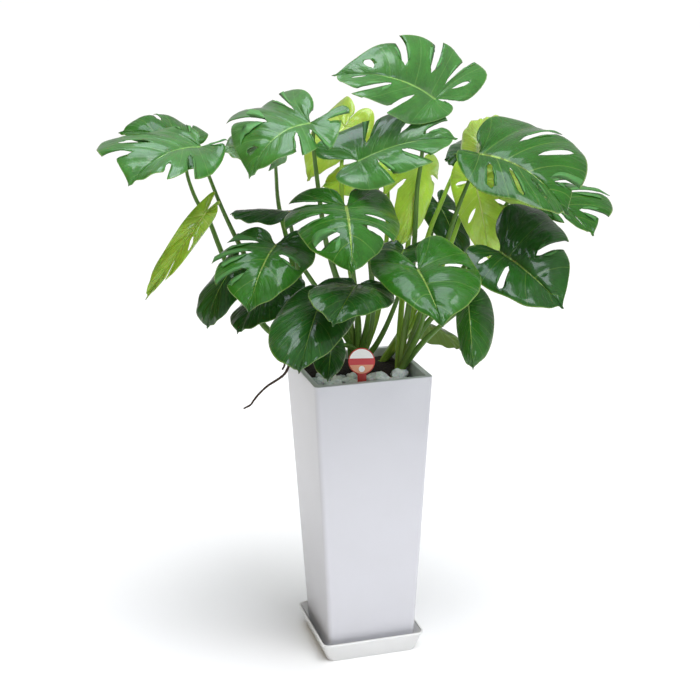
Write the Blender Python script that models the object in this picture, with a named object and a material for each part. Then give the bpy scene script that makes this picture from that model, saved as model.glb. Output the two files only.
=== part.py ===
"""Potted monstera: split and heart-shaped leaves on long petioles, in a tall white planter.

Metres, +Z up. The origin is the middle of the saucer's underside, on the floor. The
planter's sides lie along X and Y, and its front face looks towards -Y. Lengths in the
plant's own lists are in centimetres where CM multiplies them.
"""
import math
import random

import bmesh
import bpy
from mathutils import Vector

CM = 0.01
GAP = 0.0003                 # clearance between pieces that touch
SLIVER = 0.00008             # edges shorter than this are closed up after a Boolean

# Planter: a tall square pot that narrows to its foot.
POT_H = 0.500
POT_TOP = 0.1013             # half width across the rim
POT_FOOT = 0.0760            # half width across the foot
POT_WALL = 0.0100
POT_FLOOR = 0.012
POT_CORNER = 0.0095          # radius of the upright edges
POT_DRAIN = 0.011            # radius of the drain hole
POT_Z = 0.004                # the pot stands on the saucer's floor

# Saucer: a shallow square tray.
SAUCER_H = 0.036
SAUCER_TOP = 0.0924
SAUCER_FOOT = 0.0792
SAUCER_WALL = 0.0026
SAUCER_LIP = 0.0042
SAUCER_CORNER = 0.0125

# What fills the pot.
SOIL_TOP = 0.478             # height of the soil's surface
STONE_BED = 0.0035           # thickness of the grit that holds the top stones together
STUB_R = 0.013               # radius of a stem's stub where it stands in the soil
STUB_DEPTH = 0.045

# Foliage.
BLADE = 0.0012               # thickness of a leaf blade
LEAF_ROWS = (0.0, 0.3, 0.55, 0.78, 1.0)
WHOLE_ROWS = (0.0, 0.38, 0.75, 1.0)
LEAF_COLUMNS = (0.055, 0.12, 0.21, 0.31, 0.42, 0.55, 0.69, 0.82, 0.93, 1.0)
PETIOLE_TOP = 0.0020         # radius just under the blade
PETIOLE_TIP = 0.0012         # radius of the end that meets the blade's foot
PETIOLE_FOOT = 0.0072        # radius where it leaves the stem
SHOOT_Z = 0.65               # a route that starts above this grows from another petiole
SHOOT_FOOT = 0.0032          # radius where such a young petiole leaves the older one
STUB_LEAN = 0.0060           # how far off the stub's middle a petiole leaves it
LOBE_SLANT = 0.18            # how much less far a lobe's footward corner reaches

# Name tag: a disc on a flat stake.
TAG_X, TAG_Y = -0.0145, -0.0740
TAG_DISC = 0.0220
TAG_THICK = 0.0012
TAG_Z = 0.533                # height of the disc's middle
STAKE_W = 0.0150
STAKE_FOOT = 0.462


def clear_scene():
    for item in list(bpy.data.objects):
        bpy.data.objects.remove(item, do_unlink=True)


def material(name, colour, roughness, metallic=0.0):
    mat = bpy.data.materials.new(name)
    mat.use_nodes = True
    shader = mat.node_tree.nodes["Principled BSDF"]
    shader.inputs["Base Color"].default_value = (*colour, 1.0)
    shader.inputs["Roughness"].default_value = roughness
    shader.inputs["Metallic"].default_value = metallic
    mat.diffuse_color = (*colour, 1.0)
    return mat


def add_mesh(name, verts, faces, mat):
    mesh = bpy.data.meshes.new(name)
    mesh.from_pydata([tuple(v) for v in verts], [], faces)
    mesh.update()
    mesh.shade_smooth()
    mesh.set_sharp_from_angle(angle=math.radians(40))
    obj = bpy.data.objects.new(name, mesh)
    bpy.context.scene.collection.objects.link(obj)
    obj.data.materials.append(mat)
    return obj


def apply_boolean(obj, operation, other=None, collection=None, solver="EXACT"):
    """Applies one Boolean to obj and leaves the result as its mesh."""
    mod = obj.modifiers.new("Boolean", "BOOLEAN")
    mod.operation = operation
    mod.solver = solver
    if collection is not None:
        mod.operand_type = "COLLECTION"
        mod.collection = collection
    else:
        mod.object = other
    bpy.context.view_layer.update()
    graph = bpy.context.evaluated_depsgraph_get()
    mesh = bpy.data.meshes.new_from_object(obj.evaluated_get(graph))
    obj.modifiers.clear()
    tidy = bmesh.new()
    tidy.from_mesh(mesh)
    bmesh.ops.remove_doubles(tidy, verts=tidy.verts, dist=SLIVER)
    bmesh.ops.dissolve_degenerate(tidy, edges=tidy.edges, dist=SLIVER)
    bmesh.ops.triangulate(tidy, faces=[f for f in tidy.faces if len(f.verts) > 3])
    tidy.to_mesh(mesh)
    tidy.free()
    old = obj.data
    obj.data = mesh
    mesh.name = old.name
    bpy.data.meshes.remove(old)


def remove_all(objects):
    for item in objects:
        bpy.data.objects.remove(item, do_unlink=True)


def gather(name, objects):
    """Moves loose solids into a collection of their own, for one union."""
    group = bpy.data.collections.new(name)
    bpy.context.scene.collection.children.link(group)
    for item in objects:
        for owner in list(item.users_collection):
            owner.objects.unlink(item)
        group.objects.link(item)
    return group


# Planter, saucer and what fills the pot.
def rounded_square(half, radius, z, steps=4):
    """Corner points of a square with rounded corners, anticlockwise."""
    ring = []
    for quarter in range(4):
        turn = quarter*math.pi/2
        cx, cy = half - radius, half - radius
        for i in range(steps + 1):
            a = i*math.pi/2/steps
            x, y = cx + radius*math.cos(a), cy + radius*math.sin(a)
            ring.append(Vector((x*math.cos(turn) - y*math.sin(turn),
                                x*math.sin(turn) + y*math.cos(turn), z)))
    return ring


def loft(name, levels, mat):
    """A closed solid through rounded-square rings; the first and last are capped."""
    rings = [rounded_square(*level) for level in levels]
    count = len(rings[0])
    verts = [p for ring in rings for p in ring]
    faces = [tuple(reversed(range(count)))]
    for r in range(len(rings) - 1):
        low, high = r*count, (r + 1)*count
        for i in range(count):
            j = (i + 1) % count
            faces.append((low + i, low + j, high + j, high + i))
    faces.append(tuple(range((len(rings) - 1)*count, len(rings)*count)))
    return add_mesh(name, verts, faces, mat)


def pot_half(z):
    """Half width of the pot's outside at a height above its own foot."""
    return POT_FOOT + (POT_TOP - POT_FOOT)*z/POT_H


def cylinder(name, radius, z0, z1, x, y, mat, sides=12):
    verts = []
    for z in (z0, z1):
        for i in range(sides):
            a = 2*math.pi*i/sides
            verts.append((x + radius*math.cos(a), y + radius*math.sin(a), z))
    faces = [tuple(reversed(range(sides))), tuple(range(sides, 2*sides))]
    for i in range(sides):
        j = (i + 1) % sides
        faces.append((i, j, sides + j, sides + i))
    return add_mesh(name, verts, faces, mat)


def box(name, size, centre, mat):
    x, y, z = (s/2 for s in size)
    verts = [(centre[0] + sx*x, centre[1] + sy*y, centre[2] + sz*z)
             for sz in (-1, 1) for sy in (-1, 1) for sx in (-1, 1)]
    faces = [(0, 2, 3, 1), (4, 5, 7, 6), (0, 1, 5, 4), (2, 6, 7, 3), (0, 4, 6, 2), (1, 3, 7, 5)]
    return add_mesh(name, verts, faces, mat)


def build_pot(mat):
    w, lip = POT_WALL, 0.0012
    levels = [(pot_half(0) - 0.0015, POT_CORNER - 0.0015, POT_Z),
              (pot_half(0.0015), POT_CORNER, POT_Z + 0.0015),
              (pot_half(POT_H - lip), POT_CORNER, POT_Z + POT_H - lip),
              (pot_half(POT_H) - lip, POT_CORNER - lip, POT_Z + POT_H),
              (pot_half(POT_H) - w + lip, POT_CORNER - w + lip + 0.004, POT_Z + POT_H),
              (pot_half(POT_H - lip) - w, POT_CORNER - w + 0.004, POT_Z + POT_H - lip),
              (pot_half(POT_FLOOR) - w, POT_CORNER - w + 0.004, POT_Z + POT_FLOOR)]
    pot = loft("pot", levels, mat)
    drain = cylinder("drain", POT_DRAIN, 0, POT_Z + 0.04, 0, 0, mat, 20)
    apply_boolean(pot, "DIFFERENCE", drain)
    remove_all([drain])
    return pot


def build_saucer(mat):
    slope = (SAUCER_TOP - SAUCER_FOOT)/SAUCER_H

    def half(z):
        return SAUCER_FOOT + slope*z

    lip = 0.0035
    levels = [(half(0) - 0.0015, SAUCER_CORNER - 0.0015, 0.0),
              (half(0.0015), SAUCER_CORNER, 0.0015),
              (half(SAUCER_H - lip) - SAUCER_LIP + SAUCER_WALL, SAUCER_CORNER, SAUCER_H - lip),
              (half(SAUCER_H - lip), SAUCER_CORNER + 0.0015, SAUCER_H - lip + 0.0006),
              (half(SAUCER_H), SAUCER_CORNER + 0.0015, SAUCER_H - 0.0006),
              (half(SAUCER_H) - 0.0008, SAUCER_CORNER + 0.001, SAUCER_H),
              (half(SAUCER_H) - SAUCER_LIP + 0.0008, SAUCER_CORNER - 0.002, SAUCER_H),
              (half(SAUCER_H) - SAUCER_LIP, SAUCER_CORNER - 0.0025, SAUCER_H - 0.0008),
              (half(POT_Z) - SAUCER_WALL, SAUCER_CORNER - 0.0025, POT_Z - GAP)]
    return loft("saucer", levels, mat)


# The stems' stubs in the soil: name, x, y.
STEMS = {"stem_left": (-0.0670, 0.0684), "stem_middle": (0.006, 0.040),
         "stem_right": (0.072, 0.002), "stem_back": (0.058, 0.062)}


def inner_level(z, gap):
    """A rounded-square ring that lies inside the pot's wall by gap, at a world height."""
    return (pot_half(z - POT_Z) - POT_WALL - gap, POT_CORNER - POT_WALL + 0.004, z)


def tag_place(obj):
    """Turns a piece that was made upright at the origin into the tag's place."""
    obj.rotation_euler = (math.radians(-9), 0, math.radians(-14))
    obj.location = (TAG_X, TAG_Y, TAG_Z)


def stake_shape(name, grow, mat):
    """The tag's stake: a flat strip with a pointed foot, upright, disc middle at the origin."""
    w, t = STAKE_W/2 + grow, TAG_THICK/2 + grow
    foot = STAKE_FOOT - TAG_Z - grow
    outline = [(-w, -TAG_DISC*0.6), (-w, foot + 0.012), (0.0, foot), (w, foot + 0.012),
               (w, -TAG_DISC*0.6)]
    verts = [(x, y, z) for y in (-t, t) for x, z in outline]
    count = len(outline)
    faces = [tuple(range(count)), tuple(reversed(range(count, 2*count)))]
    for i in range(count):
        j = (i + 1) % count
        faces.append((j, i, count + i, count + j))
    return add_mesh(name, verts, faces, mat)


def build_tag(mat):
    tag = cylinder("name_tag", TAG_DISC, -TAG_THICK/2 - 0.0002, TAG_THICK/2 + 0.0002, 0, 0, mat, 40)
    for vert in tag.data.vertices:
        x, y, z = vert.co
        vert.co = (x, -z, y)
    stake = stake_shape("stake", 0.0, mat)
    apply_boolean(tag, "UNION", stake)
    remove_all([stake])
    tag_place(tag)
    return tag


def stem_cutters(mat):
    """Plain holes for the stubs, the roots and the tag's stake."""
    cutters = []
    for x, y in STEMS.values():
        cutters.append(cylinder("hole", STUB_R + GAP, SOIL_TOP - STUB_DEPTH - GAP,
                                SOIL_TOP + 0.05, x, y, mat, 12))
    for route in (ROOT_LONG, ROOT_SHORT):
        x, y = route[0][0]*CM, route[0][1]*CM
        cutters.append(cylinder("hole", ROOT_R + 0.0006, SOIL_TOP - 0.015 - GAP,
                                SOIL_TOP + 0.02, x, y, mat, 8))
    slot = stake_shape("slot", GAP, mat)
    tag_place(slot)
    cutters.append(slot)
    return cutters


def build_soil(mat):
    soil = loft("soil", [inner_level(POT_Z + POT_FLOOR + GAP, GAP), inner_level(SOIL_TOP, GAP)], mat)
    cutters = stem_cutters(mat)
    group = gather("holes", cutters)
    apply_boolean(soil, "DIFFERENCE", collection=group)
    remove_all(cutters)
    bpy.data.collections.remove(group)
    return soil


def pebble(x, y, under, size, rng, mat):
    """One rounded stone as a flattened icosphere with uneven sides, its underside at a height."""
    form = bmesh.new()
    bmesh.ops.create_icosphere(form, subdivisions=2, radius=1.0)
    turn = rng.uniform(0, math.pi)
    long, flat = rng.uniform(1.0, 1.2), rng.uniform(0.60, 0.75)
    z = under + size*flat*1.04
    for vert in form.verts:
        bump = rng.uniform(0.95, 1.04)
        px, py, pz = vert.co*size*bump
        px, pz = px*long, pz*flat
        vert.co = (x + px*math.cos(turn) - py*math.sin(turn),
                   y + px*math.sin(turn) + py*math.cos(turn), z + pz)
    mesh = bpy.data.meshes.new("pebble")
    form.to_mesh(mesh)
    form.free()
    obj = bpy.data.objects.new("pebble", mesh)
    bpy.context.scene.collection.objects.link(obj)
    obj.data.materials.append(mat)
    return obj


def build_gravel(mat):
    """Top stones along the pot's front, bound by a thin bed of grit."""
    rng = random.Random(7)
    z0 = SOIL_TOP + GAP
    gravel = box("gravel", (0.176, 0.062, STONE_BED), (0, -0.056, z0 + STONE_BED/2), mat)
    stones = []
    for row, y in enumerate((-0.0725, -0.0475)):
        for i in range(6):
            x = (i - 2.5)*0.0275 + (0.004 if row else -0.003) + rng.uniform(-0.002, 0.002)
            size = rng.uniform(0.0112, 0.0132)
            stones.append(pebble(max(-0.072, min(0.072, x)), y + rng.uniform(-0.0015, 0.0015),
                                 z0 + 0.0012, size, rng, mat))
    group = gather("stones", stones)
    apply_boolean(gravel, "UNION", collection=group)
    remove_all(stones)
    bpy.data.collections.remove(group)
    slot = stake_shape("slot", 0.0008, mat)
    tag_place(slot)
    bpy.context.view_layer.update()
    apply_boolean(gravel, "DIFFERENCE", slot)
    remove_all([slot])
    return gravel


# Foliage. A blade grows from its foot, where the petiole meets it, to its tip. Its right
# and left halves are seen from above with the tip pointing away.
def leaf(name, foot, heading, dip, length, right, left, back=0.26, sinus=0.24, arch=0.10,
         camber=0.09, wave=0.0, blunt=0.0, cuts=None, kind="green"):
    """A leaf's design: foot in cm, heading and dip of its midrib in degrees, length in m,
    and for each half its width in m, how far it falls below the level in degrees, and how
    far it sweeps towards the tip, as a share of the length. back is how far the basal
    lobes reach behind the foot, for both halves or each, and sinus how far they stand
    apart. blunt fills the blade out near its tip. cuts maps a place along the margin
    (0 sinus, 1 tip) to a right and a left gap."""
    return {"name": name, "foot": Vector(foot)*CM, "heading": math.radians(heading),
            "dip": math.radians(dip), "length": length, "halves": (right, left),
            "back": back if isinstance(back, tuple) else (back, back), "sinus": sinus,
            "arch": arch, "camber": camber, "wave": wave, "blunt": blunt, "cuts": cuts or {},
            "kind": kind}


def split(start, width=0.05, mouth=1.2):
    """A gap that runs from start (0 midrib, 1 margin) out through the margin, mouth times as
    wide there as near its root."""
    return (start, 1.0, width, mouth)


def hole(start=0.3, end=0.78, width=0.04):
    return (start, end, width, 1.0)


def blade_frame(item):
    """Foot, midrib vector, the two side vectors and the blade's upward normal."""
    h, d = item["heading"], item["dip"]
    along = Vector((math.cos(h)*math.cos(d), math.sin(h)*math.cos(d), -math.sin(d)))
    level = Vector((math.sin(h), -math.cos(h), 0.0))
    up = level.cross(along)
    sides, normal = [], Vector()
    for sign, (width, fall, sweep) in zip((1, -1), item["halves"]):
        f = math.radians(fall)
        out = sign*math.cos(f)*level - math.sin(f)*up
        sides.append(out*width + along*item["length"]*sweep)
        normal += out.cross(along)*sign
    return item["foot"], along*item["length"], sides, normal.normalized()


def smooth_path(points, t):
    """Catmull-Rom through evenly numbered points; t runs from 0 to 1."""
    last = len(points) - 1
    x = min(max(t, 0.0), 1.0)*last
    i = min(int(x), last - 1)
    f = x - i
    p0 = points[i - 1] if i > 0 else [2*a - b for a, b in zip(points[0], points[1])]
    p3 = points[i + 2] if i + 2 <= last else [2*a - b for a, b in zip(points[-1], points[-2])]
    out = []
    for a, b, c, d in zip(p0, points[i], points[i + 1], p3):
        out.append(0.5*(2*b + (c - a)*f + (2*a - 5*b + 4*c - d)*f*f + (3*b - a - 3*c + d)*f**3))
    return out


def margin(s, back, sinus, blunt):
    """The half outline as (across, along), both in shares of the blade."""
    b = blunt
    outline = [(0.03, -0.01), (sinus, -0.80*back), (0.60, -1.00*back), (0.93, -0.42*back),
               (1.03, 0.12), (0.96 + 0.02*b, 0.37), (0.77 + 0.10*b, 0.60 + 0.03*b),
               (0.50 + 0.17*b, 0.775 + 0.04*b), (0.22 + 0.11*b, 0.89 + 0.02*b),
               (0.06 + 0.01*b, 0.95), (0.0, 1.0)]
    return smooth_path(outline, s)


def vein_root(s):
    """Where on the midrib the vein to margin place s leaves it; basal veins share the foot."""
    return 0.0 if s <= 0.3 else ((s - 0.3)/0.7)**1.3


def gap_half(gap, v):
    """Half width of a gap at v, in margin places."""
    start, end, width, mouth = gap
    if end < 1.0:
        end = min(end, LEAF_ROWS[-2])
    if v <= start + 1e-6 or (v >= end - 1e-6 and end < 1.0):
        return 0.0
    t = (v - start)/(end - start)
    if end < 1.0:
        return 0.5*width*math.sqrt(max(0.0, 1 - (2*t - 1)**2))
    return 0.5*width*math.sqrt(min(1.0, t/0.3))*(1 + (mouth - 1)*t)


def lobe_reach(item, half, s, side):
    """Lobes end in a slanted edge: their tipward corner reaches furthest."""
    bounds = [0.0] + [c for c in sorted(item["cuts"])
                      if item["cuts"][c][half] and item["cuts"][c][half][1] >= 1.0] + [1.0]
    if len(bounds) == 2:
        return 1.0
    for a, b in zip(bounds, bounds[1:]):
        inside = a <= s <= b and not (s == b and side > 0 and b < 1.0) \
            and not (s == a and side < 0 and a > 0.0)
        if inside and a > 0.0:
            return 1.0 - LOBE_SLANT*(1.0 - (s - a)/(b - a))**2
    return 1.0


def blade_point(item, frame, half, s, v):
    """A point of the blade's upper face."""
    foot, along, sides, normal = frame
    mu, mw = margin(s, item["back"][half], item["sinus"], item["blunt"])
    o = vein_root(s)
    cu, cw = 0.55*mu, o + 0.30*(mw - o)
    u = 2*v*(1 - v)*cu + v*v*mu
    w = (1 - v)**2*o + 2*v*(1 - v)*cw + v*v*mw
    side = sides[half]
    lift = item["arch"]*item["length"]*4*w*(1 - w) if 0 < w < 1 else 0.0
    lift += item["camber"]*item["halves"][half][0]*4*u*(1 - u)
    lift += item["wave"]*u*u*math.sin(2*math.pi*(3.2*s + 0.4*half))
    return foot + w*along + u*side + lift*normal


def blade_columns(item, columns):
    """Margin places of the grid, with a pair of columns where a half has a gap."""
    places = [s for s in columns if all(abs(s - c) > 0.04 for c in item["cuts"])]
    places = sorted(places + list(item["cuts"]))
    halves = []
    for half in (0, 1):
        row = []
        for j, s in enumerate(places):
            gap = item["cuts"].get(s, (None, None))[half]
            if gap:
                row += [(j, s, -1, gap), (j, s, 1, gap)]
            else:
                row.append((j, s, 0, None))
        halves.append(row)
    return halves


def blade_surface(item, columns, rows):
    """The upper face as points and triangles, open where the blade is cut."""
    frame = blade_frame(item)
    keys, points, faces = {}, [], []

    def vertex(half, column, i):
        j, s, side, gap = column
        v = rows[i]
        spread = gap_half(gap, v) if gap else 0.0
        if s >= 1.0:
            key = "tip"
        elif i == 0:
            key = ("rib", 0 if vein_root(s) == 0.0 else j)
        else:
            key = (half, j, i, side if spread > 0 else 0)
        if key not in keys:
            keys[key] = len(points)
            reach = lobe_reach(item, half, s, side if gap else 0)
            points.append(blade_point(item, frame, half, s + side*spread, v*reach))
        return keys[key]

    for half, row in enumerate(blade_columns(item, columns)):
        for a, b in zip(row, row[1:]):
            if a[0] == b[0]:
                continue
            for i in range(len(rows) - 1):
                quad = [vertex(half, a, i), vertex(half, a, i + 1),
                        vertex(half, b, i + 1), vertex(half, b, i)]
                for tri in ((quad[0], quad[1], quad[2]), (quad[0], quad[2], quad[3])):
                    if len(set(tri)) == 3:
                        faces.append(tri if half == 0 else tri[::-1])
    return points, faces


def blade_rows(item):
    return LEAF_ROWS if item["cuts"] else WHOLE_ROWS


def build_blade(item, mat, columns=LEAF_COLUMNS):
    """The blade as a thin closed solid with like triangles on its two faces."""
    points, faces = blade_surface(item, columns, blade_rows(item))
    normals = [Vector() for _ in points]
    for a, b, c in faces:
        across = (points[b] - points[a]).cross(points[c] - points[a])
        for i in (a, b, c):
            normals[i] += across
    count = len(points)
    verts = points + [p - n.normalized()*BLADE for p, n in zip(points, normals)]
    edges = {(t[i], t[(i + 1) % 3]) for t in faces for i in range(3)}
    solid = list(faces) + [(c + count, b + count, a + count) for a, b, c in faces]
    for a, b in sorted(edges):
        if (b, a) not in edges:
            solid += [(b, a, a + count), (b, a + count, b + count)]
    return add_mesh("leaf_" + item["name"], verts, solid, mat)


def tube(name, points, radii, mat, bevel=1):
    """A closed round rod through points, as a curve with its own radius at each."""
    curve = bpy.data.curves.new(name, "CURVE")
    curve.dimensions = "3D"
    curve.bevel_depth = 1.0
    curve.bevel_resolution = bevel
    curve.use_fill_caps = True
    line = curve.splines.new("POLY")
    line.points.add(len(points) - 1)
    for spot, p, r in zip(line.points, points, radii):
        spot.co = (*p, 1.0)
        spot.radius = r
    made = bpy.data.objects.new(name, curve)
    bpy.context.scene.collection.objects.link(made)
    bpy.context.view_layer.update()
    graph = bpy.context.evaluated_depsgraph_get()
    mesh = bpy.data.meshes.new_from_object(made.evaluated_get(graph))
    bpy.data.objects.remove(made, do_unlink=True)
    obj = bpy.data.objects.new(name, mesh)
    bpy.context.scene.collection.objects.link(obj)
    mesh.materials.clear()
    mesh.materials.append(mat)
    weld = bmesh.new()
    weld.from_mesh(mesh)
    bmesh.ops.remove_doubles(weld, verts=weld.verts, dist=0.00001)
    bmesh.ops.recalc_face_normals(weld, faces=weld.faces)
    weld.to_mesh(mesh)
    weld.free()
    return obj


def foot_slope(item, foot, normal):
    """How steeply the blade's faces fall away around its foot, so that a petiole clears them."""
    points, faces = blade_surface(item, LEAF_COLUMNS, blade_rows(item))
    steepest = 0.0
    for face in faces:
        if any((points[i] - foot).length < 1e-6 for i in face):
            for i in face:
                edge = points[i] - foot
                if edge.length > 1e-6:
                    level = edge - normal*edge.dot(normal)
                    steepest = max(steepest, -edge.dot(normal)/max(level.length, 1e-6))
    return steepest


def petiole_route(stem, item, route, steps=6):
    """Centre line and radii from inside the stub to just under the blade's foot."""
    x, y = STEMS[stem]
    first = Vector(route[0])*CM
    lean = Vector((first.x - x, first.y - y, 0))
    lean = lean.normalized()*STUB_LEAN if lean.length > 0.001 else lean
    foot, _, _, normal = blade_frame(item)
    line = [Vector((x + 0.4*lean.x, y + 0.4*lean.y, SOIL_TOP - 0.012))]
    points = [(x + 0.9*lean.x, y + 0.9*lean.y, SOIL_TOP + 0.008)]
    thick = PETIOLE_FOOT
    if first.z > SHOOT_Z:
        line, points, thick, steps = [], [], SHOOT_FOOT, 4
    points += [tuple(Vector(p)*CM) for p in route]
    points += [tuple(foot - normal*0.016)]
    line += [Vector(smooth_path(points, i/(steps - 1))) for i in range(steps)]
    top = BLADE + GAP + PETIOLE_TIP*foot_slope(item, foot, normal)
    line += [foot - normal*(top + 0.004), foot - normal*top]
    last = len(line) - 1
    radii = [thick + (PETIOLE_TOP - thick)*(i/last)**0.8 for i in range(last)]
    radii.append(PETIOLE_TIP)
    return line, radii


def build_stem(name, leaves, mat):
    """The stub and every petiole that grows from it, fused into one solid."""
    x, y = STEMS[name]
    stub = cylinder(name, STUB_R, SOIL_TOP - STUB_DEPTH, SOIL_TOP + 0.010, x, y, mat, 12)
    rods = []
    for item in leaves:
        stem, route = PETIOLES[item["name"]]
        if stem == name:
            line, radii = petiole_route(name, item, route)
            rods.append(tube("rod", line, radii, mat))
    group = gather(name + "_rods", rods)
    apply_boolean(stub, "UNION", collection=group)
    remove_all(rods)
    bpy.data.collections.remove(group)
    return stub


def build_root(name, route, mat):
    """A tapering root along its route."""
    points = [tuple(Vector(p)*CM) for p in route]
    steps = 2*len(points)
    line = [Vector(smooth_path(points, i/(steps - 1))) for i in range(steps)]
    radii = [ROOT_R*(1.0 - ROOT_TAPER*i/(steps - 1)) for i in range(steps)]
    return tube(name, line, radii, mat)


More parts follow.
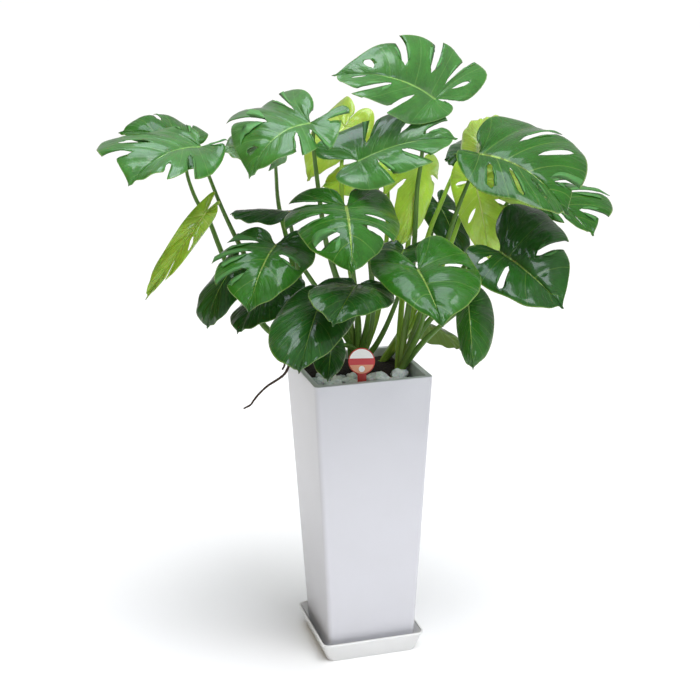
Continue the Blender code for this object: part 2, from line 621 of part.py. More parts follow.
LEAVES = [
    leaf("top", (12.3, -3.6, 94.9), 176, -14, 0.174, (0.105, -48, -0.25), (0.064, 43, 0.29),
         back=(0.36, 0.26), sinus=0.10, arch=0.15, blunt=0.6, cuts={
             0.19: (hole(0.4, 0.7, 0.03), None), 0.31: (split(0.3), None),
             0.45: (split(0.3, 0.08, 1.0), split(0.3, 0.03, 0.8)),
             0.62: (split(0.3, 0.06), split(0.3, 0.10, 1.3)),
             0.79: (hole(0.3, 0.7, 0.04), hole(0.3, 0.7, 0.03))}),
    leaf("upper_left", (-9.0, -5.7, 92.2), 196, 35, 0.135, (0.165, -4, -0.00), (0.061, 27, 0.13),
         back=(0.38, 0.48), arch=0.19, cuts={
             0.22: (None, split(0.55, 0.06)), 0.28: (split(0.3, 0.06), None),
             0.38: (None, split(0.3, 0.05)), 0.50: (None, split(0.3, 0.05)),
             0.58: (split(0.3, 0.17, 1.9), None), 0.80: (hole(0.3, 0.7, 0.04), None)}),
    leaf("upper_left_back", (-11.4, 6.5, 86.2), 193, -6, 0.101, (0.091, -11, -0.14), (0.040, 43, 0.36),
         kind="pale", cuts={0.34: (split(0.55), split(0.55))}),
    leaf("far_left", (-24.1, 7.0, 87.6), 207, 18, 0.152, (0.140, -9, 0.35), (0.079, 16, 0.30),
         back=(0.30, 0.34), arch=0.13, camber=0.12, cuts={
             0.17: (split(0.55, 0.06), split(0.3, 0.06)), 0.46: (split(0.3, 0.035), split(0.4, 0.05, 0.8)),
             0.60: (hole(0.3, 0.7, 0.05), split(0.6, 0.04, 0.8)), 0.72: (split(0.55, 0.04), None)}),
    leaf("far_left_back", (-24.3, 16.5, 86.6), 159, -10, 0.124, (0.084, -17, 0.16), (0.068, 29, -0.04),
         cuts={0.34: (split(0.55), split(0.55)), 0.58: (split(0.55), split(0.55))}),
    leaf("hanging_left", (-23.9, 5.7, 77.1), 184, 52, 0.175, (0.021, -74, 0.18), (0.017, 68, 0.01),
         back=(0.28, 0.12), arch=0.05, wave=0.012, kind="lime", cuts={
             0.52: (None, hole(0.3, 0.78, 0.05)), 0.70: (None, split(0.3, 0.07))}),
    leaf("front_left_centre", (-5.1, -12.0, 79.8), 258, 34, 0.146, (0.108, 26, -0.24), (0.100, 32, -0.25),
         back=0.30, sinus=0.14, arch=0.12, wave=0.004, blunt=0.5, cuts={
             0.31: (split(0.3, 0.06), None), 0.50: (split(0.3, 0.07), hole(0.3, 0.78, 0.03)),
             0.62: (None, split(0.3, 0.05, 0.6)), 0.70: (hole(0.3, 0.92, 0.17), None)}),
    leaf("front_left", (-14.6, -4.1, 72.9), 232, 39, 0.138, (0.094, 3, 0.09), (0.065, 22, -0.02),
         back=0.25, arch=0.14, camber=0.12, blunt=0.3, cuts={
             0.33: (split(0.3, 0.12, 1.3), None), 0.50: (split(0.3, 0.12, 1.2), hole(0.3, 0.9, 0.07)),
             0.67: (split(0.35, 0.10, 1.0), None)}),
    leaf("bottom_left", (-9.2, -11.9, 65.8), 238, 36, 0.154, (0.064, -1, 0.32), (0.060, 28, -0.05),
         back=(0.24, 0.12), arch=0.12, camber=0.14, wave=0.003, blunt=0.2),
    leaf("centre", (-4.2, -14.4, 67.9), 233, 21, 0.114, (0.056, -22, 0.41), (0.063, 28, -0.10),
         back=0.16, arch=0.14, camber=0.14),
    leaf("left_lower", (-19.3, 3.6, 68.9), 202, 58, 0.122, (0.041, -6, 0.26), (0.032, 36, 0.24),
         arch=0.14),
    leaf("left_inner", (-11.6, 3.4, 64.6), 197, 38, 0.117, (0.057, 9, 0.27), (0.053, 19, 0.13),
         arch=0.12),
    leaf("left_flat", (-10.7, 3.1, 76.9), 187, -2, 0.101, (0.060, 14, 0.06), (0.029, 29, 0.39),
         arch=0.05, camber=0.06),
    leaf("low", (-6.9, -8.4, 57.0), 249, 37, 0.076, (0.030, 9, 0.11), (0.028, 34, -0.01),
         arch=0.10),
    leaf("centre_right", (4.9, -17.1, 70.2), 269, 26, 0.138, (0.067, 13, -0.28), (0.094, 1, -0.06),
         back=(0.28, 0.48), sinus=0.14, arch=0.06, camber=0.12, blunt=0.3, cuts={
             0.42: (None, hole(0.3, 0.85, 0.05))}),
    leaf("right", (20.5, -12.3, 71.0), 303, 31, 0.145, (0.072, 23, 0.07), (0.122, -20, -0.25),
         back=0.28, arch=0.06, camber=0.10, blunt=0.6, cuts={
             0.31: (hole(0.3, 0.7, 0.04), None), 0.50: (hole(0.3, 0.9, 0.06), None),
             0.61: (None, split(0.3, 0.12, 0.3))}),
    leaf("upper_right", (19.3, -5.6, 86.0), 310, 28, 0.184, (0.073, 18, 0.30), (0.173, -10, 0.03),
         back=0.26, arch=0.14, blunt=0.4, cuts={
             0.40: (hole(0.3, 0.85, 0.06), None), 0.47: (None, split(0.3, 0.06)),
             0.54: (hole(0.3, 0.85, 0.06), None), 0.63: (None, hole(0.3, 0.78, 0.04)),
             0.69: (hole(0.3, 0.78, 0.06), None), 0.79: (None, split(0.3, 0.07))}),
    leaf("far_right", (32.5, 5.6, 77.3), 322, 30, 0.141, (0.040, 23, 0.25), (0.127, -15, 0.46),
         arch=0.12, cuts={
             0.31: (split(0.3, 0.08), split(0.3, 0.08)),
             0.53: (split(0.3, 0.11, 1.3), split(0.3, 0.12, 1.4)),
             0.76: (split(0.3, 0.07), split(0.3, 0.08, 1.4))}),
    leaf("upper_middle", (-1.3, -5.9, 85.9), 351, -11, 0.164, (0.071, 32, 0.09), (0.079, -41, 0.25),
         back=(0.30, 0.50), arch=0.10, blunt=0.3, cuts={
             0.37: (None, split(0.3, 0.06)), 0.44: (split(0.3, 0.04), None),
             0.61: (split(0.3, 0.08), split(0.3, 0.06)), 0.77: (None, split(0.3, 0.07))}),
    leaf("young_upper_left", (1.1, 10.1, 89.4), 202, 46, 0.117, (0.081, 6, -0.21), (0.049, 33, 0.04),
         back=(0.40, 0.42), sinus=0.08, kind="lime", cuts={0.40: (split(0.55), split(0.55))}),
    leaf("young_upper_middle", (7.6, 6.6, 82.3), 176, 12, 0.118, (0.042, -26, 0.13), (0.041, 71, 0.24),
         kind="lime", cuts={0.34: (split(0.55), split(0.55))}),
    leaf("young_centre", (12.0, 2.2, 84.3), 206, 70, 0.154, (0.035, -28, 0.22), (0.052, 94, 0.03),
         back=0.12, kind="lime", cuts={0.41: (split(0.55, 0.04), split(0.55, 0.04))}),
    leaf("young_right", (20.3, -0.7, 81.6), 307, 77, 0.146, (0.041, 71, 0.03), (0.107, -22, 0.29),
         back=0.22, kind="lime", cuts={
             0.36: (hole(0.3, 0.78, 0.03), None), 0.50: (None, split(0.3, 0.12, 1.5)),
             0.58: (hole(0.3, 0.78, 0.03), None)}),
    leaf("young_top_right", (21.3, 0.0, 85.3), 62, -31, 0.095, (0.044, 2, 0.39), (0.037, 26, 0.29),
         back=0.14, kind="lime"),
    leaf("upper_right_back", (24.9, 9.4, 84.6), 197, 10, 0.074, (0.059, -3, -0.35), (0.028, 57, 0.42)),
    leaf("inner_right", (16.1, 5.2, 76.4), 307, 63, 0.109, (0.037, 55, -0.19), (0.042, -9, 0.18),
         cuts={0.42: (None, hole(0.3, 0.78, 0.07))}),
    leaf("inner_centre", (6.6, -5.1, 70.9), 228, 30, 0.064, (0.038, -18, 0.10), (0.042, 45, -0.70)),
    leaf("low_right", (15.0, -12.7, 63.2), 258, 58, 0.114, (0.027, 47, 0.17), (0.052, 32, 0.02),
         arch=0.14, blunt=0.3),
    leaf("low_right_under", (11.6, 0.8, 57.0), 336, 35, 0.086, (0.030, -23, 0.30), (0.041, 56, 0.17),
         back=0.10, kind="olive"),
]

# Petioles: the stem each grows from, and the points in cm that it passes on its way up.
PETIOLES = {
    "far_left": ("stem_left", ((-9.1, 7.9, 53.2), (-14.1, 9.3, 62.5), (-17.1, 9.7, 69.2),
        (-19.0, 9.7, 73.4), (-21.0, 9.3, 78.2), (-23.2, 8.0, 84.0))),
    "far_left_back": ("stem_left", ((-9.3, 9.0, 52.9), (-13.2, 12.7, 55.2), (-18.6, 15.9, 65.6),
        (-21.4, 17.2, 73.6), (-23.4, 17.8, 77.3), (-24.7, 18.2, 82.0))),
    "upper_left_back": ("stem_left", ((-8.4, 7.7, 54.5), (-8.4, 8.2, 63.0), (-9.1, 9.9, 69.3),
        (-10.0, 12.8, 76.1), (-11.1, 9.5, 82.5))),
    "hanging_left": ("stem_left", ((-20.9, 9.3, 78.1), (-22.1, 8.1, 77.6))),
    "left_flat": ("stem_left", ((-8.2, 7.1, 53.7), (-8.0, 6.0, 61.0), (-9.0, 5.2, 69.0),
        (-10.2, 4.2, 74.9))),
    "left_lower": ("stem_left", ((-9.3, 9.0, 53.3), (-13.1, 9.6, 60.6), (-16.4, 7.9, 65.6))),
    "left_inner": ("stem_left", ((-8.6, 7.7, 53.6), (-9.9, 6.0, 60.3))),
    "bottom_left": ("stem_middle", ((-0.9, 1.3, 53.7), (-5.3, -4.7, 59.6))),
    "low": ("stem_middle", ((-0.2, 0.1, 52.6), (-3.4, -4.2, 55.4))),
    "front_left_centre": ("stem_middle", ((0.1, -0.0, 58.3), (-2.1, -4.6, 68.9), (-3.6, -8.3, 75.4))),
    "front_left": ("stem_middle", ((-1.7, 1.5, 57.2), (-6.2, 1.8, 63.6), (-10.5, -0.0, 69.7))),
    "centre": ("stem_middle", ((1.6, -0.5, 57.4), (0.1, -6.3, 64.1))),
    "upper_left": ("stem_middle", ((-0.9, 1.3, 58.1), (-3.9, 0.1, 67.2), (-5.7, -1.4, 73.0),
        (-7.2, -3.1, 81.7), (-8.2, -4.4, 88.6))),
    "upper_middle": ("stem_middle", ((2.8, 1.3, 56.9), (2.7, 0.2, 65.0), (1.0, -2.4, 73.2),
        (-0.6, -4.5, 81.0))),
    "young_upper_left": ("stem_middle", ((1.3, 3.8, 57.3), (-0.2, 3.2, 66.3), (-1.7, 2.0, 76.8),
        (-0.5, 6.4, 84.4))),
    "young_upper_middle": ("stem_middle", ((4.5, 3.9, 57.0), (6.2, 4.4, 65.5), (7.6, 6.6, 75.4))),
    "inner_centre": ("stem_middle", ((3.9, 2.0, 53.1), (5.9, 0.4, 58.1), (7.1, -2.1, 64.3))),
    "top": ("stem_right", ((8.2, -0.3, 55.1), (9.3, -0.6, 62.9), (9.9, -0.8, 72.2), (10.2, -1.1, 79.9),
        (10.7, -1.7, 84.8), (11.0, -2.6, 90.2))),
    "young_centre": ("stem_right", ((8.3, 2.3, 55.3), (9.3, 3.0, 63.9), (10.6, 3.2, 74.1),
        (11.5, 2.9, 80.6))),
    "upper_right": ("stem_right", ((9.8, -1.3, 56.1), (12.4, -2.6, 64.0), (14.6, -3.7, 71.7),
        (16.1, -4.7, 77.3), (17.9, -5.2, 82.1))),
    "centre_right": ("stem_right", ((8.9, -2.6, 53.9), (9.3, -6.9, 59.6), (7.8, -11.7, 65.5))),
    "right": ("stem_right", ((9.8, -3.9, 56.2), (14.2, -6.3, 62.5), (18.5, -9.6, 68.3))),
    "low_right": ("stem_right", ((10.5, -4.1, 54.8), (13.4, -8.6, 59.7))),
    "low_right_under": ("stem_right", ((9.5, 0.3, 53.0), (10.6, 1.1, 54.9))),
    "young_top_right": ("stem_back", ((10.6, 2.6, 57.7), (13.0, 2.4, 70.1), (15.6, 2.2, 76.9),
        (19.3, 3.7, 82.7))),
    "young_right": ("stem_back", ((12.1, 1.7, 58.7), (15.8, -1.0, 69.4), (19.2, 1.2, 76.0))),
    "far_right": ("stem_back", ((13.4, 3.9, 57.1), (20.4, 4.5, 64.5), (26.0, 4.9, 72.0),
        (28.9, 4.0, 76.3))),
    "upper_right_back": ("stem_back", ((12.7, 5.7, 58.6), (20.2, 10.2, 68.7), (24.4, 11.6, 77.1))),
    "inner_right": ("stem_back", ((11.6, 4.4, 58.1), (14.2, 5.2, 67.4), (15.6, 5.8, 73.7))),
}


# Aerial roots: out of the soil, over the rim and down outside it, in cm.
ROOT_R = 0.0027
ROOT_TAPER = 0.40            # share of the radius that is lost by the tip
ROOT_LONG = ((-8.2, 4.0, 46.5), (-8.3, 4.1, 49.2), (-9.2, 4.4, 51.0), (-10.5, 4.4, 50.9),
             (-11.1, 4.3, 49.7), (-11.6, 4.4, 48.8), (-12.3, 4.6, 48.1), (-13.3, 4.9, 47.4),
             (-14.6, 5.3, 46.5), (-16.0, 5.7, 45.1), (-16.9, 6.0, 43.9), (-17.4, 6.1, 43.2),
             (-18.6, 6.5, 42.5))
ROOT_SHORT = ((-8.3, 5.6, 46.5), (-8.4, 5.7, 49.2), (-9.2, 6.0, 51.0), (-10.4, 6.4, 51.1),
              (-11.1, 6.4, 50.4), (-11.2, 6.4, 49.6), (-11.6, 6.5, 48.8))


def build():
    clear_scene()
    greens = {"green": (0.035, 0.13, 0.022), "pale": (0.10, 0.20, 0.09),
              "lime": (0.32, 0.50, 0.045), "olive": (0.13, 0.20, 0.03)}
    build_pot(material("white_glaze", (0.66, 0.66, 0.70), 0.32))
    build_saucer(material("white_plastic", (0.78, 0.78, 0.79), 0.38))
    build_soil(material("potting_soil", (0.025, 0.018, 0.013), 0.95))
    build_gravel(material("white_stone", (0.60, 0.62, 0.61), 0.5))
    build_tag(material("tag_plastic", (0.75, 0.05, 0.04), 0.35))
    for item in LEAVES:
        kind = item["kind"]
        build_blade(item, material("leaf_" + kind + "_" + item["name"], greens[kind], 0.30))
    bark = material("petiole_green", (0.10, 0.17, 0.03), 0.45)
    for name in STEMS:
        build_stem(name, LEAVES, bark)
    roots = material("root_brown", (0.030, 0.018, 0.012), 0.8)
    build_root("aerial_root_long", ROOT_LONG, roots)
    build_root("aerial_root_short", ROOT_SHORT, roots)
    for item in list(bpy.data.meshes):
        if item.users == 0:
            bpy.data.meshes.remove(item)


build()
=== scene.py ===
"""Potted monstera: the looks of the plant, its planter, saucer, stones, tag and roots."""
import math
import random

import bmesh
import bpy
from mathutils import Matrix, Vector, noise


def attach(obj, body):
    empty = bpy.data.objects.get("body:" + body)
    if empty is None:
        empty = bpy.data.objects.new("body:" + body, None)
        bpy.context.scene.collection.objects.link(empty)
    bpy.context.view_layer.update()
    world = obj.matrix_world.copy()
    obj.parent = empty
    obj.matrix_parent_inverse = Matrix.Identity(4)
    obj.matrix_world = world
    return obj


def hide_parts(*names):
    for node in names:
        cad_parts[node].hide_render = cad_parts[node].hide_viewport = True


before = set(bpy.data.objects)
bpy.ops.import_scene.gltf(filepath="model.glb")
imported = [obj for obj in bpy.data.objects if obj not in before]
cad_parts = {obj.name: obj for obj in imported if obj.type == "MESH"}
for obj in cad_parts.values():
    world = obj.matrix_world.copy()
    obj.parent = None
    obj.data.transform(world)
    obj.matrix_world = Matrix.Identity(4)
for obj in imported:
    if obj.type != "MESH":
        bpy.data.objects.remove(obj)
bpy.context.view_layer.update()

bl_info = {
    "name": "Potted Monstera",
    "version": (1, 0, 0),
    "blender": (4, 5, 0),
    "location": "View3D > Sidebar > Monstera",
    "description": "A potted monstera in a tall white planter, with its studio stage",
    "category": "Add Mesh",
}

CM = 0.01


def linear(hex_text):
    """An sRGB hex colour as linear red, green and blue."""
    parts = [int(hex_text[i:i + 2], 16)/255 for i in (1, 3, 5)]
    return tuple(c/12.92 if c <= 0.04045 else ((c + 0.055)/1.055)**2.4 for c in parts)


def tone(colour, red=1.0, green=None, blue=None):
    """A linear colour with its alpha, scaled by one factor or by one for each part."""
    factors = (red, red if green is None else green, red if blue is None else blue)
    return (*[min(1.0, part*factor) for part, factor in zip(colour, factors)], 1.0)


def rgba(hex_text):
    return tone(linear(hex_text))


# Settings

def colour_prop(name, text, hex_text):
    return bpy.props.FloatVectorProperty(name=name, description=text, subtype="COLOR", size=3,
                                         min=0.0, max=1.0, default=linear(hex_text))


def length_prop(name, text, metres):
    return bpy.props.FloatProperty(name=name, description=text, default=metres, min=0.0,
                                   subtype="DISTANCE", unit="LENGTH", precision=4)


class PlanterSettings(bpy.types.PropertyGroup):
    """Sizes and colours of the planter and its saucer."""
    height: length_prop("Height", "Planter's own height", 0.500)
    rim_half: length_prop("Rim half width", "Half the planter's width across its rim", 0.1013)
    foot_half: length_prop("Foot half width", "Half its width across the foot", 0.0760)
    wall: length_prop("Wall", "Thickness of the planter's wall at the rim", 0.0100)
    floor: length_prop("Floor", "Thickness of the planter's floor", 0.0120)
    corner: length_prop("Corner radius", "Radius of the upright edges", 0.0085)
    stand: length_prop("Stand height", "Height of the planter's foot above the floor", 0.004)
    glaze: colour_prop("Glaze", "Colour of the satin glaze", "#D3D3D7")
    saucer_height: length_prop("Saucer height", "Height of the saucer's lip above the floor", 0.036)
    saucer_top: length_prop("Saucer half width", "Half the saucer's width across its lip", 0.0924)
    saucer_foot: length_prop("Saucer foot", "Half the saucer's width across its foot", 0.0792)
    saucer_wall: length_prop("Saucer wall", "Thickness of the saucer's wall", 0.0026)
    saucer: colour_prop("Saucer", "Colour of the saucer's plastic", "#EFEFED")


class FoliageSettings(bpy.types.PropertyGroup):
    """Sizes and colours of leaves and petioles."""
    blade: length_prop("Blade", "Thickness of a leaf blade", 0.0009)
    quilt: bpy.props.FloatProperty(name="Quilting", default=0.055, min=0.0, max=0.2,
                                   description="Height of the bulge between two veins, as a "
                                               "share of their distance")
    mature: colour_prop("Mature leaf", "Colour of a mature leaf's upper face", "#2B6519")
    # The fresh colour is partly the newest leaves' own lighter green and partly painted light, for the top
    # leaves that the light reaches most.
    fresh: colour_prop("Fresh leaf", "Colour of the newest full-grown leaves' upper face", "#3C772E")
    # The old colour is partly the oldest leaves' own darker green and partly painted shade, for the low
    # leaves in the shade of the others.
    old: colour_prop("Old leaf", "Colour of the oldest, lowest leaves' upper face", "#1C4E13")
    pale: colour_prop("Pale leaf", "Colour of the leaf seen from below at the back", "#6E9468")
    # young and topmost are one lime in two copies: young is brightened with painted light that stands in
    # for light shining through the young leaves in the shade, and topmost, for the young leaves in the
    # sun, is without it.
    young: colour_prop("Young leaf", "Colour of a young leaf in the shade", "#A8D145")
    topmost: colour_prop("Topmost young leaf", "Colour of the young leaves at the top", "#98B83C")
    furled: colour_prop("Furled leaf", "Colour of the leaf that is still unfurling", "#92BC36")
    shade: colour_prop("Shade leaf", "Colour of the low leaf in the shade", "#5C7A2C")
    rib: colour_prop("Midrib", "Colour of the midrib and main veins", "#A3C35E")
    petiole: colour_prop("Petiole", "Colour of a petiole", "#4E7A2B")


class GroundSettings(bpy.types.PropertyGroup):
    """What fills the planter, and the tag in it."""
    soil_top: length_prop("Soil", "Height of the soil's surface above the floor", 0.478)
    stones: bpy.props.IntProperty(name="Stones", default=54, min=4, max=120,
                                  description="How many stones lie on the soil")
    stone: length_prop("Stone size", "Half the length of a usual stone", 0.0132)
    tag_disc: length_prop("Tag", "Radius of the name tag's disc", 0.0220)
    tag_red: colour_prop("Tag red", "Colour of the tag's stake, rim and band", "#C4362F")


# Shared tools for shaping

def deselect():
    if bpy.context.mode != "OBJECT":
        bpy.ops.object.mode_set(mode="OBJECT")
    bpy.ops.object.select_all(action="DESELECT")


def only(obj, mode="OBJECT"):
    """Selects one object alone and opens it in object or edit mode."""
    deselect()
    obj.select_set(True)
    bpy.context.view_layer.objects.active = obj
    bpy.ops.object.mode_set(mode=mode)


def close():
    """Leaves edit mode."""
    bpy.ops.object.mode_set(mode="OBJECT")


def named(name):
    """Names the object that an operator just added, and gives it back."""
    obj = bpy.context.object
    obj.name = name
    obj.data.name = name
    return obj


def select_picked(obj, pick):
    """In edit mode, selects nothing but the faces or edges that pick finds in the mesh."""
    form = bmesh.from_edit_mesh(obj.data)
    for item in (*form.verts, *form.edges, *form.faces):
        item.select = False
    for item in pick(form):
        item.select_set(True)
    bmesh.update_edit_mesh(obj.data)


def select_faces(obj, test):
    """In edit mode, selects the faces whose middle and normal pass a test."""
    select_picked(obj, lambda form: [f for f in form.faces if test(f.calc_center_median(), f.normal)])


def select_edges(obj, test):
    """In edit mode, selects the edges whose two ends pass a test."""
    select_picked(obj, lambda form: [e for e in form.edges if test(e.verts[0].co, e.verts[1].co)])


def soften(radius, steps):
    """In edit mode, rounds every sharp edge of the active object."""
    bpy.ops.mesh.select_all(action="DESELECT")
    bpy.ops.mesh.select_mode(type="EDGE")
    bpy.ops.mesh.edges_select_sharp(sharpness=math.radians(50))
    bpy.ops.mesh.bevel(offset=radius, segments=steps, affect="EDGES")
    bpy.ops.mesh.select_mode(type="VERT")


def settle(obj):
    """Puts the object's place into its mesh."""
    only(obj)
    bpy.ops.object.transform_apply(location=True, rotation=True, scale=True)


def smooth(obj, angle=35.0):
    only(obj)
    bpy.ops.object.shade_smooth_by_angle(angle=math.radians(angle))


def dress(obj, *mats):
    obj.data.materials.clear()
    for mat in mats:
        obj.data.materials.append(mat)


def joined(pieces, name):
    """Joins pieces into one object."""
    deselect()
    for piece in pieces:
        piece.select_set(True)
    bpy.context.view_layer.objects.active = pieces[0]
    bpy.ops.object.join()
    whole = bpy.context.object
    whole.name = name
    return whole


def tapered_block(name, low, high, low_half, high_half):
    """A square block that widens upwards, left in edit mode with its top face selected."""
    deselect()
    bpy.ops.mesh.primitive_cube_add(size=1, location=(0, 0, (low + high)/2))
    block = named(name)
    block.scale = (2*low_half, 2*low_half, high - low)
    settle(block)
    bpy.ops.object.mode_set(mode="EDIT")
    select_faces(block, lambda p, n: n.z > 0.9)
    widen = high_half/low_half
    bpy.ops.transform.resize(value=(widen, widen, 1), center_override=(0, 0, high))
    return block


def open_box(name, low, high, low_half, high_half, wall, floor, floor_half, corners):
    """A square vessel that widens upwards, left in edit mode. floor is the height of the floor
    inside it, and corners are the outer and inner radius of its upright edges."""
    box = tapered_block(name, low, high, low_half, high_half)
    bpy.ops.mesh.inset(thickness=wall)
    bpy.ops.mesh.extrude_region_move(TRANSFORM_OT_translate={"value": (0, 0, floor - high)})
    narrow = floor_half/(high_half - wall)
    bpy.ops.transform.resize(value=(narrow, narrow, 1), center_override=(0, 0, floor))
    for bottom, radius in zip((low, floor), corners):
        select_edges(box, lambda a, b: abs(abs(a.z - b.z) - (high - bottom)) < 0.001)
        bpy.ops.mesh.bevel(offset=radius, offset_type="OFFSET", segments=8, affect="EDGES")
    return box


def cavity_half(planter, z):
    """Half the width inside the planter at a height above the floor."""
    share = (z - planter.stand)/planter.height
    return planter.foot_half + (planter.rim_half - planter.foot_half)*share - planter.wall


def grid_piece(name, columns, rows, place, marks):
    """A primitive grid shaped point by point. place(column, row) gives a point in metres, and
    each of the marks is a like function that becomes an attribute of the points."""
    deselect()
    bpy.ops.mesh.primitive_grid_add(x_subdivisions=columns - 1, y_subdivisions=rows - 1, size=2)
    obj = named(name)
    spots = [(round((vert.co.x + 1)/2*(columns - 1)), round((vert.co.y + 1)/2*(rows - 1)))
             for vert in obj.data.vertices]
    obj.data.vertices.foreach_set("co", [part for spot in spots for part in place(*spot)])
    obj.data.update()
    for label, mark in marks.items():
        made = obj.data.attributes.new(label, "FLOAT", "POINT")
        made.data.foreach_set("value", [mark(*spot) for spot in spots])
    return obj


def weld(obj, distance):
    """Merges points that lie together, and leaves all of the mesh selected in edit mode."""
    only(obj, "EDIT")
    bpy.ops.mesh.select_all(action="SELECT")
    bpy.ops.mesh.remove_doubles(threshold=distance)
    bpy.ops.mesh.select_all(action="SELECT")


def tube(name, line, sides, skin, marks):
    """A closed rod round a line. skin(row, angle) is the way from the line to the rod's skin,
    and marks are functions of row and angle that become attributes."""
    last = len(line) - 1

    def turned(column):
        return 2*math.pi*(column % sides)/sides

    def place(column, row):
        return line[row] if row in (0, last) else line[row] + skin(row, turned(column))

    spread = {label: lambda column, row, mark=mark: mark(row, turned(column))
              for label, mark in marks.items()}
    rod = grid_piece(name, sides + 1, last + 1, place, spread)
    weld(rod, 0.00001)
    bpy.ops.mesh.normals_make_consistent(inside=False)
    close()
    return rod


# Materials

def feed(node, inputs):
    """Links a node's inputs to the sockets among the values, and sets the others."""
    for key, value in inputs.items():
        socket = node.inputs[key]
        if isinstance(value, bpy.types.NodeSocket):
            node.id_data.links.new(value, socket)
        else:
            socket.default_value = value


def add_node(tree, kind, inputs=None, output=None, **settings):
    """Adds a shader node with its settings and inputs, and gives back the output that is named,
    or else the first one in use."""
    made = tree.nodes.new("ShaderNode" + kind)
    for key, value in settings.items():
        setattr(made, key, value)
    feed(made, inputs or {})
    return made.outputs[output] if output else next(out for out in made.outputs if out.enabled)


def principled(name, base, **constants):
    """A Principled material with constants set on the shader's own sockets."""
    mat = bpy.data.materials.new(name)
    mat.use_nodes = True
    mat.diffuse_color = tone(base)
    shader = mat.node_tree.nodes["Principled BSDF"]
    feed(shader, {"Base Color": tone(base)})
    feed(shader, {key.replace("_", " "): value for key, value in constants.items()})
    return mat, mat.node_tree, shader


def grained(name, base, grain=None, bump=None, tones=None, blotch=None, contrast=None, **constants):
    """A finish whose colour drifts between two tones, over a fine grain.

    blotch holds the inputs of the noise that the colour follows, and contrast the part of its
    range that counts. grain is a texture and its inputs, and bump its strength and depth in m."""
    mat, tree, shader = principled(name, base, **constants)
    place = add_node(tree, "TexCoord", output="Object")
    if tones:
        drift = add_node(tree, "TexNoise", {"Vector": place, **blotch})
        if contrast:
            drift = add_node(tree, "MapRange", {"Value": drift, "From Min": contrast[0],
                                                "From Max": contrast[1]})
        tint = add_node(tree, "Mix", {0: drift, 6: tones[0], 7: tones[1]}, data_type="RGBA")
        feed(shader, {"Base Color": tint})
    if grain:
        height = add_node(tree, grain[0], {"Vector": place, **grain[1]})
        normal = add_node(tree, "Bump", {"Height": height, "Strength": bump[0], "Distance": bump[1]})
        feed(shader, {"Normal": normal})
    return mat


def satin_glaze(base):
    """Satin white glaze on slip-cast ceramic: a soft sheen over a faint orange peel."""
    # The orange peel's dimples are about 2.5 mm apart, and the glaze's tone drifts over 7 cm.
    return grained("satin_white_glaze", base, ("TexNoise", {"Scale": 400.0, "Detail": 1.0}),
                   (0.06, 0.0006), (tone(base, 0.965), tone(base, 1.02, 1.02, 1.035)),
                   {"Scale": 14.0, "Detail": 3.0, "Roughness": 0.55},
                   Roughness=0.34, Coat_Weight=0.25, Coat_Roughness=0.30)


def moulded_plastic(base):
    """Injection-moulded white polypropylene: an even, slightly waxy sheen."""
    # The mould's texture is fine, about 1 mm across, and the tone drifts over 4 to 5 cm.
    return grained("moulded_white_plastic", base, ("TexNoise", {"Scale": 950.0, "Detail": 1.0}),
                   (0.05, 0.0002), (tone(base, 0.95), tone(base)), {"Scale": 22.0, "Detail": 4.0},
                   Roughness=0.36, IOR=1.49, Subsurface_Weight=0.4, Subsurface_Scale=0.01,
                   Subsurface_Radius=(1.0, 1.0, 1.0))


def damp_soil():
    """Damp potting soil: dark, matte crumbs of peat and bark, some lighter than others."""
    # Crumbs are 2 to 5 mm across, and the paler patches about 1 cm.
    return grained("damp_potting_soil", linear("#1E1813"), ("TexVoronoi", {"Scale": 280.0}),
                   (0.9, 0.002), (rgba("#0B0907"), rgba("#2E241B")),
                   {"Scale": 90.0, "Detail": 5.0, "Roughness": 0.7}, Roughness=0.92)


def quartz(name, light, dark, rough):
    """Tumbled quartz gravel: cloudy, slightly translucent, with a sugary broken surface."""
    # The sugary crystals are about 1 mm, and the clouds about 8 mm.
    return grained(name, linear(light), ("TexVoronoi", {"Scale": 900.0}), (0.45, 0.0008),
                   (rgba(dark), rgba(light)), {"Scale": 130.0, "Detail": 6.0, "Roughness": 0.65},
                   (0.35, 0.62), Roughness=rough, IOR=1.54, Subsurface_Weight=0.15,
                   Subsurface_Scale=0.004)


def tag_plastic(name, base):
    """Printed polypropylene card: smooth, with a weak sheen."""
    # Its tone drifts a little over 4 mm.
    return grained(name, base, tones=(tone(base, 0.94), tone(base)),
                   blotch={"Scale": 260.0, "Detail": 2.0}, Roughness=0.38, IOR=1.49)


def root_bark():
    """A dried aerial root's bark: dark brown, matte and wrinkled across."""
    # Wrinkles are about 2 mm apart, and the hollows between them are the dark parts.
    wrinkle = {"Scale": 480.0, "Detail": 4.0, "Roughness": 0.7}
    return grained("root_bark", linear("#1C140E"), ("TexNoise", wrinkle), (0.8, 0.0008),
                   (rgba("#1A130F"), rgba("#5B4534")), wrinkle, Roughness=0.82)


def paper_floor():
    """A seamless sheet of matte white background paper, with fibres under 2 mm long."""
    return grained("white_background_paper", linear("#FEFEFE"),
                   ("TexNoise", {"Scale": 600.0, "Detail": 2.0}), (0.02, 0.0002), Roughness=0.9)


